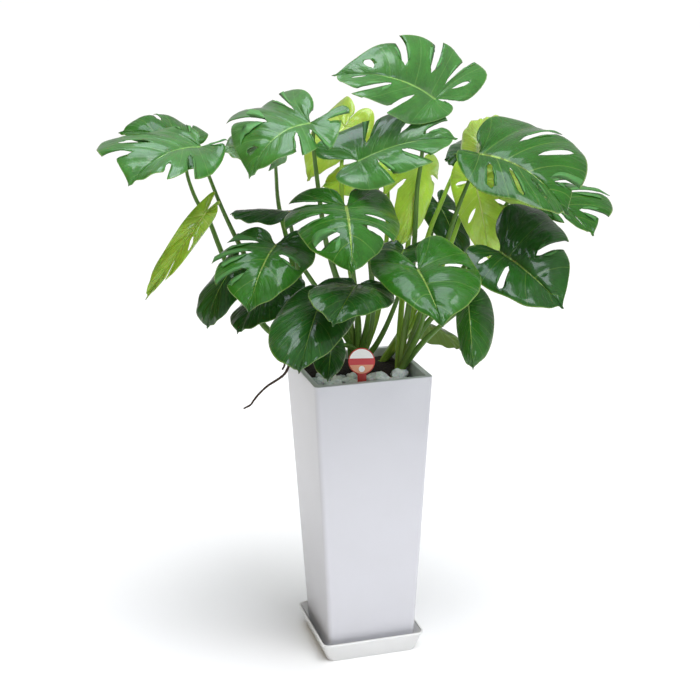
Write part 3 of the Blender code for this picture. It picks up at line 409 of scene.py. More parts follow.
def leaf_top(name, base, rib, deep=0.42, vein=0.20, gloss=0.34, light=0.10, crinkle=1.0, sheen=0.22,
             fold=0.0034):
    """A leaf's waxy upper face: dark between the veins, paler along them, glossy all over.

    The vertex attributes rib and vein hold the distance from the midrib and from the nearest
    side vein, in half widths of that vein. down and out hold how far down the blade and how
    far out a point lies, in metres, and edge goes from 0 on the midrib to 1 on the margin."""
    mat, tree, shader = principled(name, base, Roughness=gloss, IOR=1.46, Specular_IOR_Level=sheen,
                                   Coat_Weight=0.80, Coat_Roughness=0.13, Subsurface_Weight=light,
                                   Subsurface_Scale=0.003)
    place = add_node(tree, "TexCoord", output="Object")
    rib_at, vein_at, edge_at, down_at, out_at = [
        add_node(tree, "Attribute", output="Fac", attribute_name=label)
        for label in ("rib", "vein", "edge", "down", "out")]
    # Lighter patches are 3 to 4 cm across, and the tissue between the small net veins shows as a
    # mottle of about 3 mm.
    patch = add_node(tree, "TexNoise", {"Vector": place, "Scale": 28.0, "Detail": 4.0, "Roughness": 0.6})
    mottle = add_node(tree, "TexNoise", {"Vector": place, "Scale": 330.0, "Detail": 2.0})
    tissue = add_node(tree, "Mix", {0: patch, 6: tone(base, deep), 7: tone(base, 1.42, 1.38, 1.2)},
                      data_type="RGBA")
    colour = add_node(tree, "Mix", {0: 0.22, 6: tissue, 7: mottle}, data_type="RGBA",
                      blend_type="SOFT_LIGHT")
    # Side veins, the midrib, and the margin's thin translucent line are lighter, in this order.
    for at, near, far, most, least, ease in ((vein_at, 0.2, 1.6, vein, 0.0, "SMOOTHSTEP"),
                                             (rib_at, 0.55, 1.25, 0.9, 0.0, "SMOOTHSTEP"),
                                             (edge_at, 0.972, 1.0, 0.0, 0.55, "LINEAR")):
        share = add_node(tree, "MapRange", {"Value": at, "From Min": near, "From Max": far,
                                            "To Min": most, "To Max": least}, interpolation_type=ease)
        colour = add_node(tree, "Mix", {0: share, 6: colour, 7: tone(rib)}, data_type="RGBA")
    groove = add_node(tree, "MapRange", {"Value": vein_at, "From Min": 0.0, "From Max": 1.3},
                      interpolation_type="SMOOTHSTEP")
    relief = add_node(tree, "Math", {0: mottle, 1: 0.22, 2: groove}, operation="MULTIPLY_ADD")
    # Fine folds follow the side veins, about 5 mm apart and 2.5 cm long, and break up the shine.
    spot = add_node(tree, "CombineXYZ", {"X": down_at, "Y": out_at})
    along = add_node(tree, "Mapping", {"Vector": spot, "Scale": (1.0, 0.2, 1.0)})
    crest = add_node(tree, "TexNoise", {"Vector": along, "Scale": 190.0, "Detail": 2.0,
                                        "Distortion": 0.6})
    waves = add_node(tree, "Bump", {"Height": crest, "Strength": crinkle, "Distance": fold})
    normal = add_node(tree, "Bump", {"Height": relief, "Strength": 0.35, "Distance": 0.0005,
                                     "Normal": waves})
    feed(shader, {"Base Color": colour, "Normal": normal})
    return mat


def leaf_under(name, base, rib):
    """A leaf's underside: paler and duller, with the ribs standing out light."""
    mat, tree, shader = principled(name, base, Roughness=0.5, IOR=1.42, Subsurface_Weight=0.1,
                                   Subsurface_Scale=0.003)
    place = add_node(tree, "TexCoord", output="Object")
    rib_at, vein_at = [add_node(tree, "Attribute", output="Fac", attribute_name=label)
                       for label in ("rib", "vein")]
    patch = add_node(tree, "TexNoise", {"Vector": place, "Scale": 40.0, "Detail": 4.0})
    tissue = add_node(tree, "Mix", {0: patch, 6: tone(base, 0.75), 7: tone(base, 1.2)},
                      data_type="RGBA")
    nearest = add_node(tree, "Math", {0: rib_at, 1: vein_at}, operation="MINIMUM")
    share = add_node(tree, "MapRange", {"Value": nearest, "From Min": 0.4, "From Max": 1.5,
                                        "To Min": 0.7, "To Max": 0.0}, interpolation_type="SMOOTHSTEP")
    ribbed = add_node(tree, "Mix", {0: share, 6: tissue, 7: tone(rib)}, data_type="RGBA")
    feed(shader, {"Base Color": ribbed})
    return mat


def petiole_skin(base, young):
    """A petiole's smooth skin: fine long streaks, pale at the foot, with papery brown edges.

    The attribute run goes from 0 in the soil to 1 at the blade, edge is 1 on the crests of the
    groove's two flanks, and youth is 1 on the petiole of a young leaf."""
    mat, tree, shader = principled("petiole_skin", base, Roughness=0.40, IOR=1.43,
                                   Subsurface_Weight=0.08, Subsurface_Scale=0.003)
    place = add_node(tree, "TexCoord", output="Object")
    run, edge, youth = [add_node(tree, "Attribute", output="Fac", attribute_name=label)
                        for label in ("run", "edge", "youth")]
    # Streaks are about 2 mm apart and nearly 3 cm long.
    squeeze = add_node(tree, "Mapping", {"Vector": place, "Scale": (1.0, 1.0, 0.07)})
    streak = add_node(tree, "TexNoise", {"Vector": squeeze, "Scale": 520.0, "Detail": 3.0})
    patch = add_node(tree, "TexNoise", {"Vector": place, "Scale": 24.0, "Detail": 3.0})
    both = add_node(tree, "Math", {0: streak, 1: patch, 2: 0.12}, operation="MULTIPLY_ADD")
    skin = add_node(tree, "Mix", {0: both, 6: tone(base, 0.42), 7: tone(base, 2.1, 1.75, 1.5)},
                    data_type="RGBA")
    # A young leaf's petiole is lighter: it takes on the young leaves' colour, which holds painted light.
    fresher = add_node(tree, "Math", {0: youth, 1: 0.6}, operation="MULTIPLY")
    lighter = add_node(tree, "Mix", {0: fresher, 6: skin, 7: tone(young)}, data_type="RGBA")
    # The foot is pale: partly the petiole's own paler base and partly painted light, made strong enough to
    # lift the shade that the leaves cast on it.
    foot = add_node(tree, "MapRange", {"Value": run, "From Min": 0.0, "From Max": 0.34,
                                       "To Min": 0.80, "To Max": 0.0}, interpolation_type="SMOOTHSTEP")
    pale = add_node(tree, "Mix", {0: foot, 6: lighter, 7: rgba("#A3B95A")}, data_type="RGBA")
    # The flanks are brown and papery near the soil and yellow-green further up.
    crest = add_node(tree, "MapRange", {"Value": edge, "From Min": 0.45, "From Max": 0.9,
                                        "To Min": 0.0, "To Max": 0.85}, interpolation_type="SMOOTHSTEP")
    height = add_node(tree, "MapRange", {"Value": run, "From Min": 0.06, "From Max": 0.26},
                      interpolation_type="SMOOTHSTEP")
    flank = add_node(tree, "Mix", {0: height, 6: rgba("#6B4A2B"), 7: rgba("#A6B54A")}, data_type="RGBA")
    papery = add_node(tree, "Mix", {0: crest, 6: pale, 7: flank}, data_type="RGBA")
    normal = add_node(tree, "Bump", {"Height": streak, "Strength": 0.18, "Distance": 0.0005})
    feed(shader, {"Base Color": papery, "Normal": normal})
    return mat


# The leaves' form: the same design as the CAD blades, at a finer step.

STEMS = {"stem_left": (-0.0670, 0.0684), "stem_middle": (0.006, 0.040),
         "stem_right": (0.072, 0.002), "stem_back": (0.058, 0.062)}
# Radii of a petiole under its blade, at its foot, and at the foot of one that branches off
# another petiole, which it does above SHOOT_Z.
PETIOLE_TOP, PETIOLE_FOOT, SHOOT_FOOT = 0.0020, 0.0072, 0.0032
SHOOT_Z = 0.65
# The two flanks of a petiole's groove stand this far round from its middle, in radians.
FLANK = 0.78
# A group of petioles spreads over this radius in the soil.
STUB_RADIUS = 0.0060
# The stub in which such a group ends: heights above the floor, with its radius there.
COLLAR = ((0.434, 0.0120), (0.446, 0.0125), (0.458, 0.0125), (0.470, 0.0122), (0.480, 0.0118),
          (0.487, 0.0100), (0.491, 0.0070))
# The width of one half of a usual leaf, to which the heights of creases and veins belong.
USUAL_HALF = 0.1
# Veins up to this margin place all leave the midrib at the blade's foot.
BASAL = 0.3
# Out to this share of the way to the margin, the rows lie alike in long and short lobes.
INNER = 0.6
# What a lobe's slant and its two rounded corners take off its reach, and how far along the
# margin a corner's rounding runs.
SLANT, NEAR_CORNER, FAR_CORNER, CORNER_RUN = 0.18, 0.055, 0.022, 0.032


def leaf(name, foot, heading, dip, length, right, left, back=0.26, sinus=0.24, arch=0.10,
         camber=0.09, wave=0.0, blunt=0.0, cuts=None, kind="green"):
    """A leaf's design: foot in cm, heading and dip of its midrib in degrees, length in m,
    and for each half its width in m, how far it falls below the level in degrees, and how
    far it sweeps towards the tip, as a share of the length. back is how far the basal
    lobes reach behind the foot, for both halves or each, and sinus how far they stand
    apart. blunt fills the blade out near its tip. cuts maps a place along the margin
    (0 sinus, 1 tip) to a right and a left gap. A leaf with a strong wave is still unfurling
    and has a frilled margin."""
    return {"name": name, "foot": Vector(foot)*CM, "heading": math.radians(heading),
            "dip": math.radians(dip), "length": length, "halves": (right, left),
            "back": back if isinstance(back, tuple) else (back, back), "sinus": sinus,
            "arch": arch, "camber": camber, "wave": wave, "blunt": blunt, "cuts": cuts or {},
            "kind": kind, "frill": 2.5*wave if wave > 0.01 else 0.0,
            "scale": (right[0] + left[0])/2/USUAL_HALF, "seed": sum(ord(c) for c in name)*0.37}


def split(start, width=0.05, mouth=1.2):
    """A gap that runs from start (0 midrib, 1 margin) out through the margin, mouth times as
    wide there as near its root."""
    return (start, 1.0, width, mouth)


def hole(start=0.3, end=0.78, width=0.04):
    return (start, end, width, 1.0)


def blade_frame(item):
    """Foot, midrib vector, the two side vectors and the blade's upward normal."""
    h, d = item["heading"], item["dip"]
    along = Vector((math.cos(h)*math.cos(d), math.sin(h)*math.cos(d), -math.sin(d)))
    level = Vector((math.sin(h), -math.cos(h), 0.0))
    up = level.cross(along)
    sides, normal = [], Vector()
    for sign, (width, fall, sweep) in zip((1, -1), item["halves"]):
        f = math.radians(fall)
        out = sign*math.cos(f)*level - math.sin(f)*up
        sides.append(out*width + along*item["length"]*sweep)
        normal += out.cross(along)*sign
    return item["foot"], along*item["length"], sides, normal.normalized()


def smooth_path(points, t):
    """Catmull-Rom through evenly numbered points; t runs from 0 to 1."""
    last = len(points) - 1
    x = min(max(t, 0.0), 1.0)*last
    i = min(int(x), last - 1)
    f = x - i
    p0 = points[i - 1] if i > 0 else [2*a - b for a, b in zip(points[0], points[1])]
    p3 = points[i + 2] if i + 2 <= last else [2*a - b for a, b in zip(points[-1], points[-2])]
    out = []
    for a, b, c, d in zip(p0, points[i], points[i + 1], p3):
        out.append(0.5*(2*b + (c - a)*f + (2*a - 5*b + 4*c - d)*f*f + (3*b - a - 3*c + d)*f**3))
    return out


def margin(s, back, sinus, blunt):
    """The half outline as (across, along), both in shares of the blade."""
    b = blunt
    outline = [(0.03, -0.01), (sinus, -0.80*back), (0.60, -1.00*back), (0.93, -0.42*back),
               (1.03, 0.12), (0.96 + 0.02*b, 0.37), (0.77 + 0.10*b, 0.60 + 0.03*b),
               (0.50 + 0.17*b, 0.775 + 0.04*b), (0.22 + 0.11*b, 0.89 + 0.02*b),
               (0.06 + 0.01*b, 0.95), (0.0, 1.0)]
    return smooth_path(outline, s)


def vein_root(s):
    """Where on the midrib the vein to margin place s leaves it; basal veins share the foot."""
    return 0.0 if s <= BASAL else ((s - BASAL)/(1.0 - BASAL))**1.3


def gap_half(gap, v):
    """Half width of a gap at v, in margin places."""
    start, end, width, mouth = gap
    if v <= start + 1e-6 or (v >= end - 1e-6 and end < 1.0):
        return 0.0
    t = (v - start)/(end - start)
    if end < 1.0:
        return 0.5*width*math.sqrt(max(0.0, 1 - (2*t - 1)**2))
    return 0.5*width*math.sqrt(min(1.0, t/0.3))*(1 + (mouth - 1)*t)


def blade_point(item, axes, half, s, v):
    """A point of the blade's upper face."""
    foot, along, sides, normal = axes
    mu, mw = margin(s, item["back"][half], item["sinus"], item["blunt"])
    o = vein_root(s)
    # A vein is a quadratic curve from its root on the midrib, past (cu, cw), to the margin.
    cu, cw = 0.55*mu, o + 0.30*(mw - o)
    u = 2*v*(1 - v)*cu + v*v*mu
    w = (1 - v)**2*o + 2*v*(1 - v)*cw + v*v*mw
    side = sides[half]
    lift = item["arch"]*item["length"]*4*w*(1 - w) if 0 < w < 1 else 0.0
    lift += item["camber"]*item["halves"][half][0]*4*u*(1 - u)
    lift += item["wave"]*u*u*math.sin(2*math.pi*(3.2*s + 0.4*half))
    return foot + w*along + u*side + lift*normal


LEAVES = [
    leaf("top", (12.3, -3.6, 94.9), 176, -14, 0.174, (0.105, -48, -0.25), (0.064, 43, 0.29),
         back=(0.36, 0.26), sinus=0.10, arch=0.15, blunt=0.6, cuts={
             0.19: (hole(0.4, 0.7, 0.03), None), 0.31: (split(0.3), None),
             0.45: (split(0.3, 0.08, 1.0), split(0.3, 0.03, 0.8)),
             0.62: (split(0.3, 0.06), split(0.3, 0.10, 1.3)),
             0.79: (hole(0.3, 0.7, 0.04), hole(0.3, 0.7, 0.03))}),
    leaf("upper_left", (-9.0, -5.7, 92.2), 196, 35, 0.135, (0.165, -4, -0.00), (0.061, 27, 0.13),
         back=(0.38, 0.48), arch=0.19, cuts={
             0.22: (None, split(0.55, 0.06)), 0.28: (split(0.3, 0.06), None),
             0.38: (None, split(0.3, 0.05)), 0.50: (None, split(0.3, 0.05)),
             0.58: (split(0.3, 0.17, 1.9), None), 0.80: (hole(0.3, 0.7, 0.04), None)}),
    leaf("upper_left_back", (-11.4, 6.5, 86.2), 193, -6, 0.101, (0.091, -11, -0.14), (0.040, 43, 0.36),
         kind="pale", cuts={0.34: (split(0.55), split(0.55))}),
    leaf("far_left", (-24.1, 7.0, 87.6), 207, 18, 0.152, (0.140, -9, 0.35), (0.079, 16, 0.30),
         back=(0.30, 0.34), arch=0.13, camber=0.12, cuts={
             0.17: (split(0.55, 0.06), split(0.3, 0.06)), 0.46: (split(0.3, 0.035), split(0.4, 0.05, 0.8)),
             0.60: (hole(0.3, 0.7, 0.05), split(0.6, 0.04, 0.8)), 0.72: (split(0.55, 0.04), None)}),
    leaf("far_left_back", (-24.3, 16.5, 86.6), 159, -10, 0.124, (0.084, -17, 0.16), (0.068, 29, -0.04),
         cuts={0.34: (split(0.55), split(0.55)), 0.58: (split(0.55), split(0.55))}),
    leaf("hanging_left", (-23.9, 5.7, 77.1), 184, 52, 0.175, (0.021, -74, 0.18), (0.017, 68, 0.01),
         back=(0.28, 0.12), arch=0.05, wave=0.012, kind="lime", cuts={
             0.52: (None, hole(0.3, 0.78, 0.05)), 0.70: (None, split(0.3, 0.07))}),
    leaf("front_left_centre", (-5.1, -12.0, 79.8), 258, 34, 0.146, (0.108, 26, -0.24), (0.100, 32, -0.25),
         back=0.30, sinus=0.14, arch=0.12, wave=0.004, blunt=0.5, cuts={
             0.31: (split(0.3, 0.06), None), 0.50: (split(0.3, 0.07), hole(0.3, 0.78, 0.03)),
             0.62: (None, split(0.3, 0.05, 0.6)), 0.70: (hole(0.3, 0.92, 0.17), None)}),
    leaf("front_left", (-14.6, -4.1, 72.9), 232, 39, 0.138, (0.094, 3, 0.09), (0.065, 22, -0.02),
         back=0.25, arch=0.14, camber=0.12, blunt=0.3, cuts={
             0.33: (split(0.3, 0.12, 1.3), None), 0.50: (split(0.3, 0.12, 1.2), hole(0.3, 0.9, 0.07)),
             0.67: (split(0.35, 0.10, 1.0), None)}),
    leaf("bottom_left", (-9.2, -11.9, 65.8), 238, 36, 0.154, (0.064, -1, 0.32), (0.060, 28, -0.05),
         back=(0.24, 0.12), arch=0.12, camber=0.14, wave=0.003, blunt=0.2),
    leaf("centre", (-4.2, -14.4, 67.9), 233, 21, 0.114, (0.056, -22, 0.41), (0.063, 28, -0.10),
         back=0.16, arch=0.14, camber=0.14),
    leaf("left_lower", (-19.3, 3.6, 68.9), 202, 58, 0.122, (0.041, -6, 0.26), (0.032, 36, 0.24),
         arch=0.14),
    leaf("left_inner", (-11.6, 3.4, 64.6), 197, 38, 0.117, (0.057, 9, 0.27), (0.053, 19, 0.13),
         arch=0.12),
    leaf("left_flat", (-10.7, 3.1, 76.9), 187, -2, 0.101, (0.060, 14, 0.06), (0.029, 29, 0.39),
         arch=0.05, camber=0.06),
    leaf("low", (-6.9, -8.4, 57.0), 249, 37, 0.076, (0.030, 9, 0.11), (0.028, 34, -0.01),
         arch=0.10),
    leaf("centre_right", (4.9, -17.1, 70.2), 269, 26, 0.138, (0.067, 13, -0.28), (0.094, 1, -0.06),
         back=(0.28, 0.48), sinus=0.14, arch=0.06, camber=0.12, blunt=0.3, cuts={
             0.42: (None, hole(0.3, 0.85, 0.05))}),
    leaf("right", (20.5, -12.3, 71.0), 303, 31, 0.145, (0.072, 23, 0.07), (0.122, -20, -0.25),
         back=0.28, arch=0.06, camber=0.10, blunt=0.6, cuts={
             0.31: (hole(0.3, 0.7, 0.04), None), 0.50: (hole(0.3, 0.9, 0.06), None),
             0.61: (None, split(0.3, 0.12, 0.3))}),
    leaf("upper_right", (19.3, -5.6, 86.0), 310, 28, 0.184, (0.073, 18, 0.30), (0.173, -10, 0.03),
         back=0.26, arch=0.14, blunt=0.4, cuts={
             0.40: (hole(0.3, 0.85, 0.06), None), 0.47: (None, split(0.3, 0.06)),
             0.54: (hole(0.3, 0.85, 0.06), None), 0.63: (None, hole(0.3, 0.78, 0.04)),
             0.69: (hole(0.3, 0.78, 0.06), None), 0.79: (None, split(0.3, 0.07))}),
    leaf("far_right", (32.5, 5.6, 77.3), 322, 30, 0.141, (0.040, 23, 0.25), (0.127, -15, 0.46),
         arch=0.12, cuts={
             0.31: (split(0.3, 0.08), split(0.3, 0.08)),
             0.53: (split(0.3, 0.11, 1.3), split(0.3, 0.12, 1.4)),
             0.76: (split(0.3, 0.07), split(0.3, 0.08, 1.4))}),
    leaf("upper_middle", (-1.3, -5.9, 85.9), 351, -11, 0.164, (0.071, 32, 0.09), (0.079, -41, 0.25),
         back=(0.30, 0.50), arch=0.10, blunt=0.3, cuts={
             0.37: (None, split(0.3, 0.06)), 0.44: (split(0.3, 0.04), None),
             0.61: (split(0.3, 0.08), split(0.3, 0.06)), 0.77: (None, split(0.3, 0.07))}),
    leaf("young_upper_left", (1.1, 10.1, 89.4), 202, 46, 0.117, (0.081, 6, -0.21), (0.049, 33, 0.04),
         back=(0.40, 0.42), sinus=0.08, kind="lime", cuts={0.40: (split(0.55), split(0.55))}),
    leaf("young_upper_middle", (7.6, 6.6, 82.3), 176, 12, 0.118, (0.042, -26, 0.13), (0.041, 71, 0.24),
         kind="lime", cuts={0.34: (split(0.55), split(0.55))}),
    leaf("young_centre", (12.0, 2.2, 84.3), 206, 70, 0.154, (0.035, -28, 0.22), (0.052, 94, 0.03),
         back=0.12, kind="lime", cuts={0.41: (split(0.55, 0.04), split(0.55, 0.04))}),
    leaf("young_right", (20.3, -0.7, 81.6), 307, 77, 0.146, (0.041, 71, 0.03), (0.107, -22, 0.29),
         back=0.22, kind="lime", cuts={
             0.36: (hole(0.3, 0.78, 0.03), None), 0.50: (None, split(0.3, 0.12, 1.5)),
             0.58: (hole(0.3, 0.78, 0.03), None)}),
    leaf("young_top_right", (21.3, 0.0, 85.3), 62, -31, 0.095, (0.044, 2, 0.39), (0.037, 26, 0.29),
         back=0.14, kind="lime"),
    leaf("upper_right_back", (24.9, 9.4, 84.6), 197, 10, 0.074, (0.059, -3, -0.35), (0.028, 57, 0.42)),
    leaf("inner_right", (16.1, 5.2, 76.4), 307, 63, 0.109, (0.037, 55, -0.19), (0.042, -9, 0.18),
         cuts={0.42: (None, hole(0.3, 0.78, 0.07))}),
    leaf("inner_centre", (6.6, -5.1, 70.9), 228, 30, 0.064, (0.038, -18, 0.10), (0.042, 45, -0.70)),
    leaf("low_right", (15.0, -12.7, 63.2), 258, 58, 0.114, (0.027, 47, 0.17), (0.052, 32, 0.02),
         arch=0.14, blunt=0.3),
    leaf("low_right_under", (11.6, 0.8, 57.0), 336, 35, 0.086, (0.030, -23, 0.30), (0.041, 56, 0.17),
         back=0.10, kind="olive"),
]

# Petioles: the stem each grows from, and the points in cm that it passes on its way up.
PETIOLES = {
    "far_left": ("stem_left", ((-9.1, 7.9, 53.2), (-14.1, 9.3, 62.5), (-17.1, 9.7, 69.2),
        (-19.0, 9.7, 73.4), (-21.0, 9.3, 78.2), (-23.2, 8.0, 84.0))),
    "far_left_back": ("stem_left", ((-9.3, 9.0, 52.9), (-13.2, 12.7, 55.2), (-18.6, 15.9, 65.6),
        (-21.4, 17.2, 73.6), (-23.4, 17.8, 77.3), (-24.7, 18.2, 82.0))),
    "upper_left_back": ("stem_left", ((-8.4, 7.7, 54.5), (-8.4, 8.2, 63.0), (-9.1, 9.9, 69.3),
        (-10.0, 12.8, 76.1), (-11.1, 9.5, 82.5))),
    "hanging_left": ("stem_left", ((-20.9, 9.3, 78.1), (-22.1, 8.1, 77.6))),
    "left_flat": ("stem_left", ((-8.2, 7.1, 53.7), (-8.0, 6.0, 61.0), (-9.0, 5.2, 69.0),
        (-10.2, 4.2, 74.9))),
    "left_lower": ("stem_left", ((-9.3, 9.0, 53.3), (-13.1, 9.6, 60.6), (-16.4, 7.9, 65.6))),
    "left_inner": ("stem_left", ((-8.6, 7.7, 53.6), (-9.9, 6.0, 60.3))),
    "bottom_left": ("stem_middle", ((-0.9, 1.3, 53.7), (-5.3, -4.7, 59.6))),
    "low": ("stem_middle", ((-0.2, 0.1, 52.6), (-3.4, -4.2, 55.4))),
    "front_left_centre": ("stem_middle", ((0.1, -0.0, 58.3), (-2.1, -4.6, 68.9), (-3.6, -8.3, 75.4))),
    "front_left": ("stem_middle", ((-1.7, 1.5, 57.2), (-6.2, 1.8, 63.6), (-10.5, -0.0, 69.7))),
    "centre": ("stem_middle", ((1.6, -0.5, 57.4), (0.1, -6.3, 64.1))),
    "upper_left": ("stem_middle", ((-0.9, 1.3, 58.1), (-3.9, 0.1, 67.2), (-5.7, -1.4, 73.0),
        (-7.2, -3.1, 81.7), (-8.2, -4.4, 88.6))),
    "upper_middle": ("stem_middle", ((2.8, 1.3, 56.9), (2.7, 0.2, 65.0), (1.0, -2.4, 73.2),
        (-0.6, -4.5, 81.0))),
    "young_upper_left": ("stem_middle", ((1.3, 3.8, 57.3), (-0.2, 3.2, 66.3), (-1.7, 2.0, 76.8),
        (-0.5, 6.4, 84.4))),
    "young_upper_middle": ("stem_middle", ((4.5, 3.9, 57.0), (6.2, 4.4, 65.5), (7.6, 6.6, 75.4))),
    "inner_centre": ("stem_middle", ((3.9, 2.0, 53.1), (5.9, 0.4, 58.1), (7.1, -2.1, 64.3))),
    "top": ("stem_right", ((8.2, -0.3, 55.1), (9.3, -0.6, 62.9), (9.9, -0.8, 72.2), (10.2, -1.1, 79.9),
        (10.7, -1.7, 84.8), (11.0, -2.6, 90.2))),
    "young_centre": ("stem_right", ((8.3, 2.3, 55.3), (9.3, 3.0, 63.9), (10.6, 3.2, 74.1),
        (11.5, 2.9, 80.6))),
    "upper_right": ("stem_right", ((9.8, -1.3, 56.1), (12.4, -2.6, 64.0), (14.6, -3.7, 71.7),
        (16.1, -4.7, 77.3), (17.9, -5.2, 82.1))),
    "centre_right": ("stem_right", ((8.9, -2.6, 53.9), (9.3, -6.9, 59.6), (7.8, -11.7, 65.5))),
    "right": ("stem_right", ((9.8, -3.9, 56.2), (14.2, -6.3, 62.5), (18.5, -9.6, 68.3))),
    "low_right": ("stem_right", ((10.5, -4.1, 54.8), (13.4, -8.6, 59.7))),
    "low_right_under": ("stem_right", ((9.5, 0.3, 53.0), (10.6, 1.1, 54.9))),
    "young_top_right": ("stem_back", ((10.6, 2.6, 57.7), (13.0, 2.4, 70.1), (15.6, 2.2, 76.9),
        (19.3, 3.7, 82.7))),
    "young_right": ("stem_back", ((12.1, 1.7, 58.7), (15.8, -1.0, 69.4), (19.2, 1.2, 76.0))),
    "far_right": ("stem_back", ((13.4, 3.9, 57.1), (20.4, 4.5, 64.5), (26.0, 4.9, 72.0),
        (28.9, 4.0, 76.3))),
    "upper_right_back": ("stem_back", ((12.7, 5.7, 58.6), (20.2, 10.2, 68.7), (24.4, 11.6, 77.1))),
    "inner_right": ("stem_back", ((11.6, 4.4, 58.1), (14.2, 5.2, 67.4), (15.6, 5.8, 73.7))),
}


# Aerial roots: out of the soil, over the rim and down outside it, in cm.
ROOT_LONG = ((-8.2, 4.0, 46.5), (-8.3, 4.1, 49.2), (-9.2, 4.4, 51.0), (-10.5, 4.4, 50.9),
             (-11.1, 4.3, 49.7), (-11.6, 4.4, 48.8), (-12.3, 4.6, 48.1), (-13.3, 4.9, 47.4),
             (-14.6, 5.3, 46.5), (-16.0, 5.7, 45.1), (-16.9, 6.0, 43.9), (-17.4, 6.1, 43.2),
             (-18.6, 6.5, 42.5))
# A root's radius in the soil, and the share of it that is lost towards the tip.
ROOT_RADIUS, ROOT_TAPER = 0.0027, 0.42
ROOT_SHORT = ((-8.3, 5.6, 46.5), (-8.4, 5.7, 49.2), (-9.2, 6.0, 51.0), (-10.4, 6.4, 51.1),
              (-11.1, 6.4, 50.4), (-11.2, 6.4, 49.6), (-11.6, 6.5, 48.8))


# Where the main side veins run, along the margin, on a blade without splits.
WHOLE_VEINS = (0.10, 0.19, 0.28, 0.37, 0.46, 0.55, 0.64, 0.73, 0.82, 0.90)
# The rows of a blade from midrib to margin, and the widest step between its columns.
FINE_ROWS = (0.0, 0.018, 0.04, 0.065, 0.095, 0.13, 0.17, 0.21, 0.26, 0.31, 0.36, 0.41, 0.46, 0.51,
             0.56, 0.61, 0.66, 0.71, 0.76, 0.81, 0.86, 0.905, 0.94, 0.965, 0.985, 1.0)
FINE_STEP = 0.021
# The margin place at which each half begins, beside the sinus.
SINUS = 0.055

# Heights in metres of the finest forms on a blade: small creases, a slow flutter, the ripple of
# the margin, the margin's roll and the groove over the midrib.
CREASE, FLUTTER, RIPPLE, RIM_ROLL, RIB_GROOVE = 0.0011, 0.0035, 0.0016, 0.0016, 0.0011
# Half widths of a midrib at its foot, how much of it is lost towards the tip, and of a side vein.
RIB_HALF, RIB_TAPER, VEIN_HALF = 0.0025, 0.0018, 0.0011
RIB_STEPS = 24
# What a point carries for its material, with distances up to FARTHEST half widths.
LEAF_MARKS = ("rib", "vein", "down", "out", "edge")
FARTHEST = 12.0

# Which leaves wear another finish than their kind. fresh is partly age and partly painted light on the top
# leaves, old is partly age and partly painted shade on the low leaves, topmost is the young leaves in the
# sun without the painted light of the shaded ones, and furled is the leaf still unfurling.
AGES_AND_LIGHT = {"fresh": ("top", "upper_left", "upper_middle", "far_left"),
        "topmost": ("young_upper_left", "young_top_right"),
        "old": ("bottom_left", "centre", "right", "left_flat", "left_lower", "left_inner", "low",
                "inner_right", "inner_centre", "upper_right_back"),
        "furled": ("hanging_left",)}
AGE_OF_KIND = {"green": "mature", "lime": "young", "pale": "pale", "olive": "shade"}

# For each finish: ribs above, underside, ribs below, and how leaf_top differs. A rib without a colour has
# the one of the settings. The fresh and old rows hold painted light and painted shade besides age, and the
# young and topmost rows are copies of one lime, the young row brightened with painted light.
LEAF_FINISHES = {
    "mature": (None, "#4F8445", None, {}),
    "fresh": ("#8CBC60", "#5A9150", None, {"crinkle": 0.5, "sheen": 0.5}),
    "old": ("#86AB45", "#3E6F35", "#7FA64E", {}),
    "pale": (None, "#7E9F76", None, {"deep": 0.8, "gloss": 0.5}),
    "young": ("#D5E88A", "#AED152", "#D6E486", {"deep": 0.8, "vein": 0.4, "gloss": 0.36,
                                                "light": 0.25, "crinkle": 0.5, "sheen": 0.5}),
    "topmost": ("#C9DA7C", "#9FBF48", "#CBDB80", {"deep": 0.7, "vein": 0.4, "gloss": 0.38,
                                                  "light": 0.2, "crinkle": 0.5, "sheen": 0.5}),
    "furled": ("#CFE283", "#9DBB44", "#C3D56A", {"deep": 0.62, "vein": 0.60, "gloss": 0.40,
                                                 "light": 0.25, "fold": 0.004}),
    "shade": ("#7FA64E", "#66852F", "#7FA64E", {"gloss": 0.4}),
}


def leaf_age_and_light(item):
    """The name of the finish that a leaf wears."""
    for finish_key, names in AGES_AND_LIGHT.items():
        if item["name"] in names:
            return finish_key
    return AGE_OF_KIND[item["kind"]]


def lobe_ends(item, half):
    cuts = item["cuts"]
    inner = [c for c in sorted(cuts) if cuts[c][half] and cuts[c][half][1] >= 1.0]
    return [SINUS] + inner + [1.0]


def side_veins(item, half):
    """Margin places of the main side veins: one or two up the middle of each lobe."""
    if not item["cuts"]:
        return list(WHOLE_VEINS)
    gaps = [SINUS] + [c for c in sorted(item["cuts"]) if item["cuts"][c][half]] + [1.0]
    veins = []
    for a, b in zip(gaps, gaps[1:]):
        if b - a > 0.19:
            veins += [a + 0.3*(b - a), a + 0.7*(b - a)]
        elif b < 1.0 or b - a > 0.1:
            veins.append((a + b)/2)
    return veins


def fine_columns(item):
    """For each half, its columns as (number, margin place, side of a gap, gap)."""
    veins = {round(s, 6) for half in (0, 1) for s in side_veins(item, half)}
    keep = sorted(veins | set(item["cuts"]) | {SINUS, 1.0})
    places = []
    for a, b in zip(keep, keep[1:]):
        steps = max(1, math.ceil((b - a)/FINE_STEP))
        places += [a + (b - a)*i/steps for i in range(steps)]
    places.append(1.0)
    halves = []
    for half in (0, 1):
        cuts = {c: item["cuts"][c][half] for c in item["cuts"] if item["cuts"][c][half]}
        row = []
        for j, s in enumerate(places):
            if s in cuts:
                row += [(j, s, -1, cuts[s]), (j, s, 1, cuts[s])]
            else:
                row.append((j, s, 0, None))
        halves.append(row)
    return halves


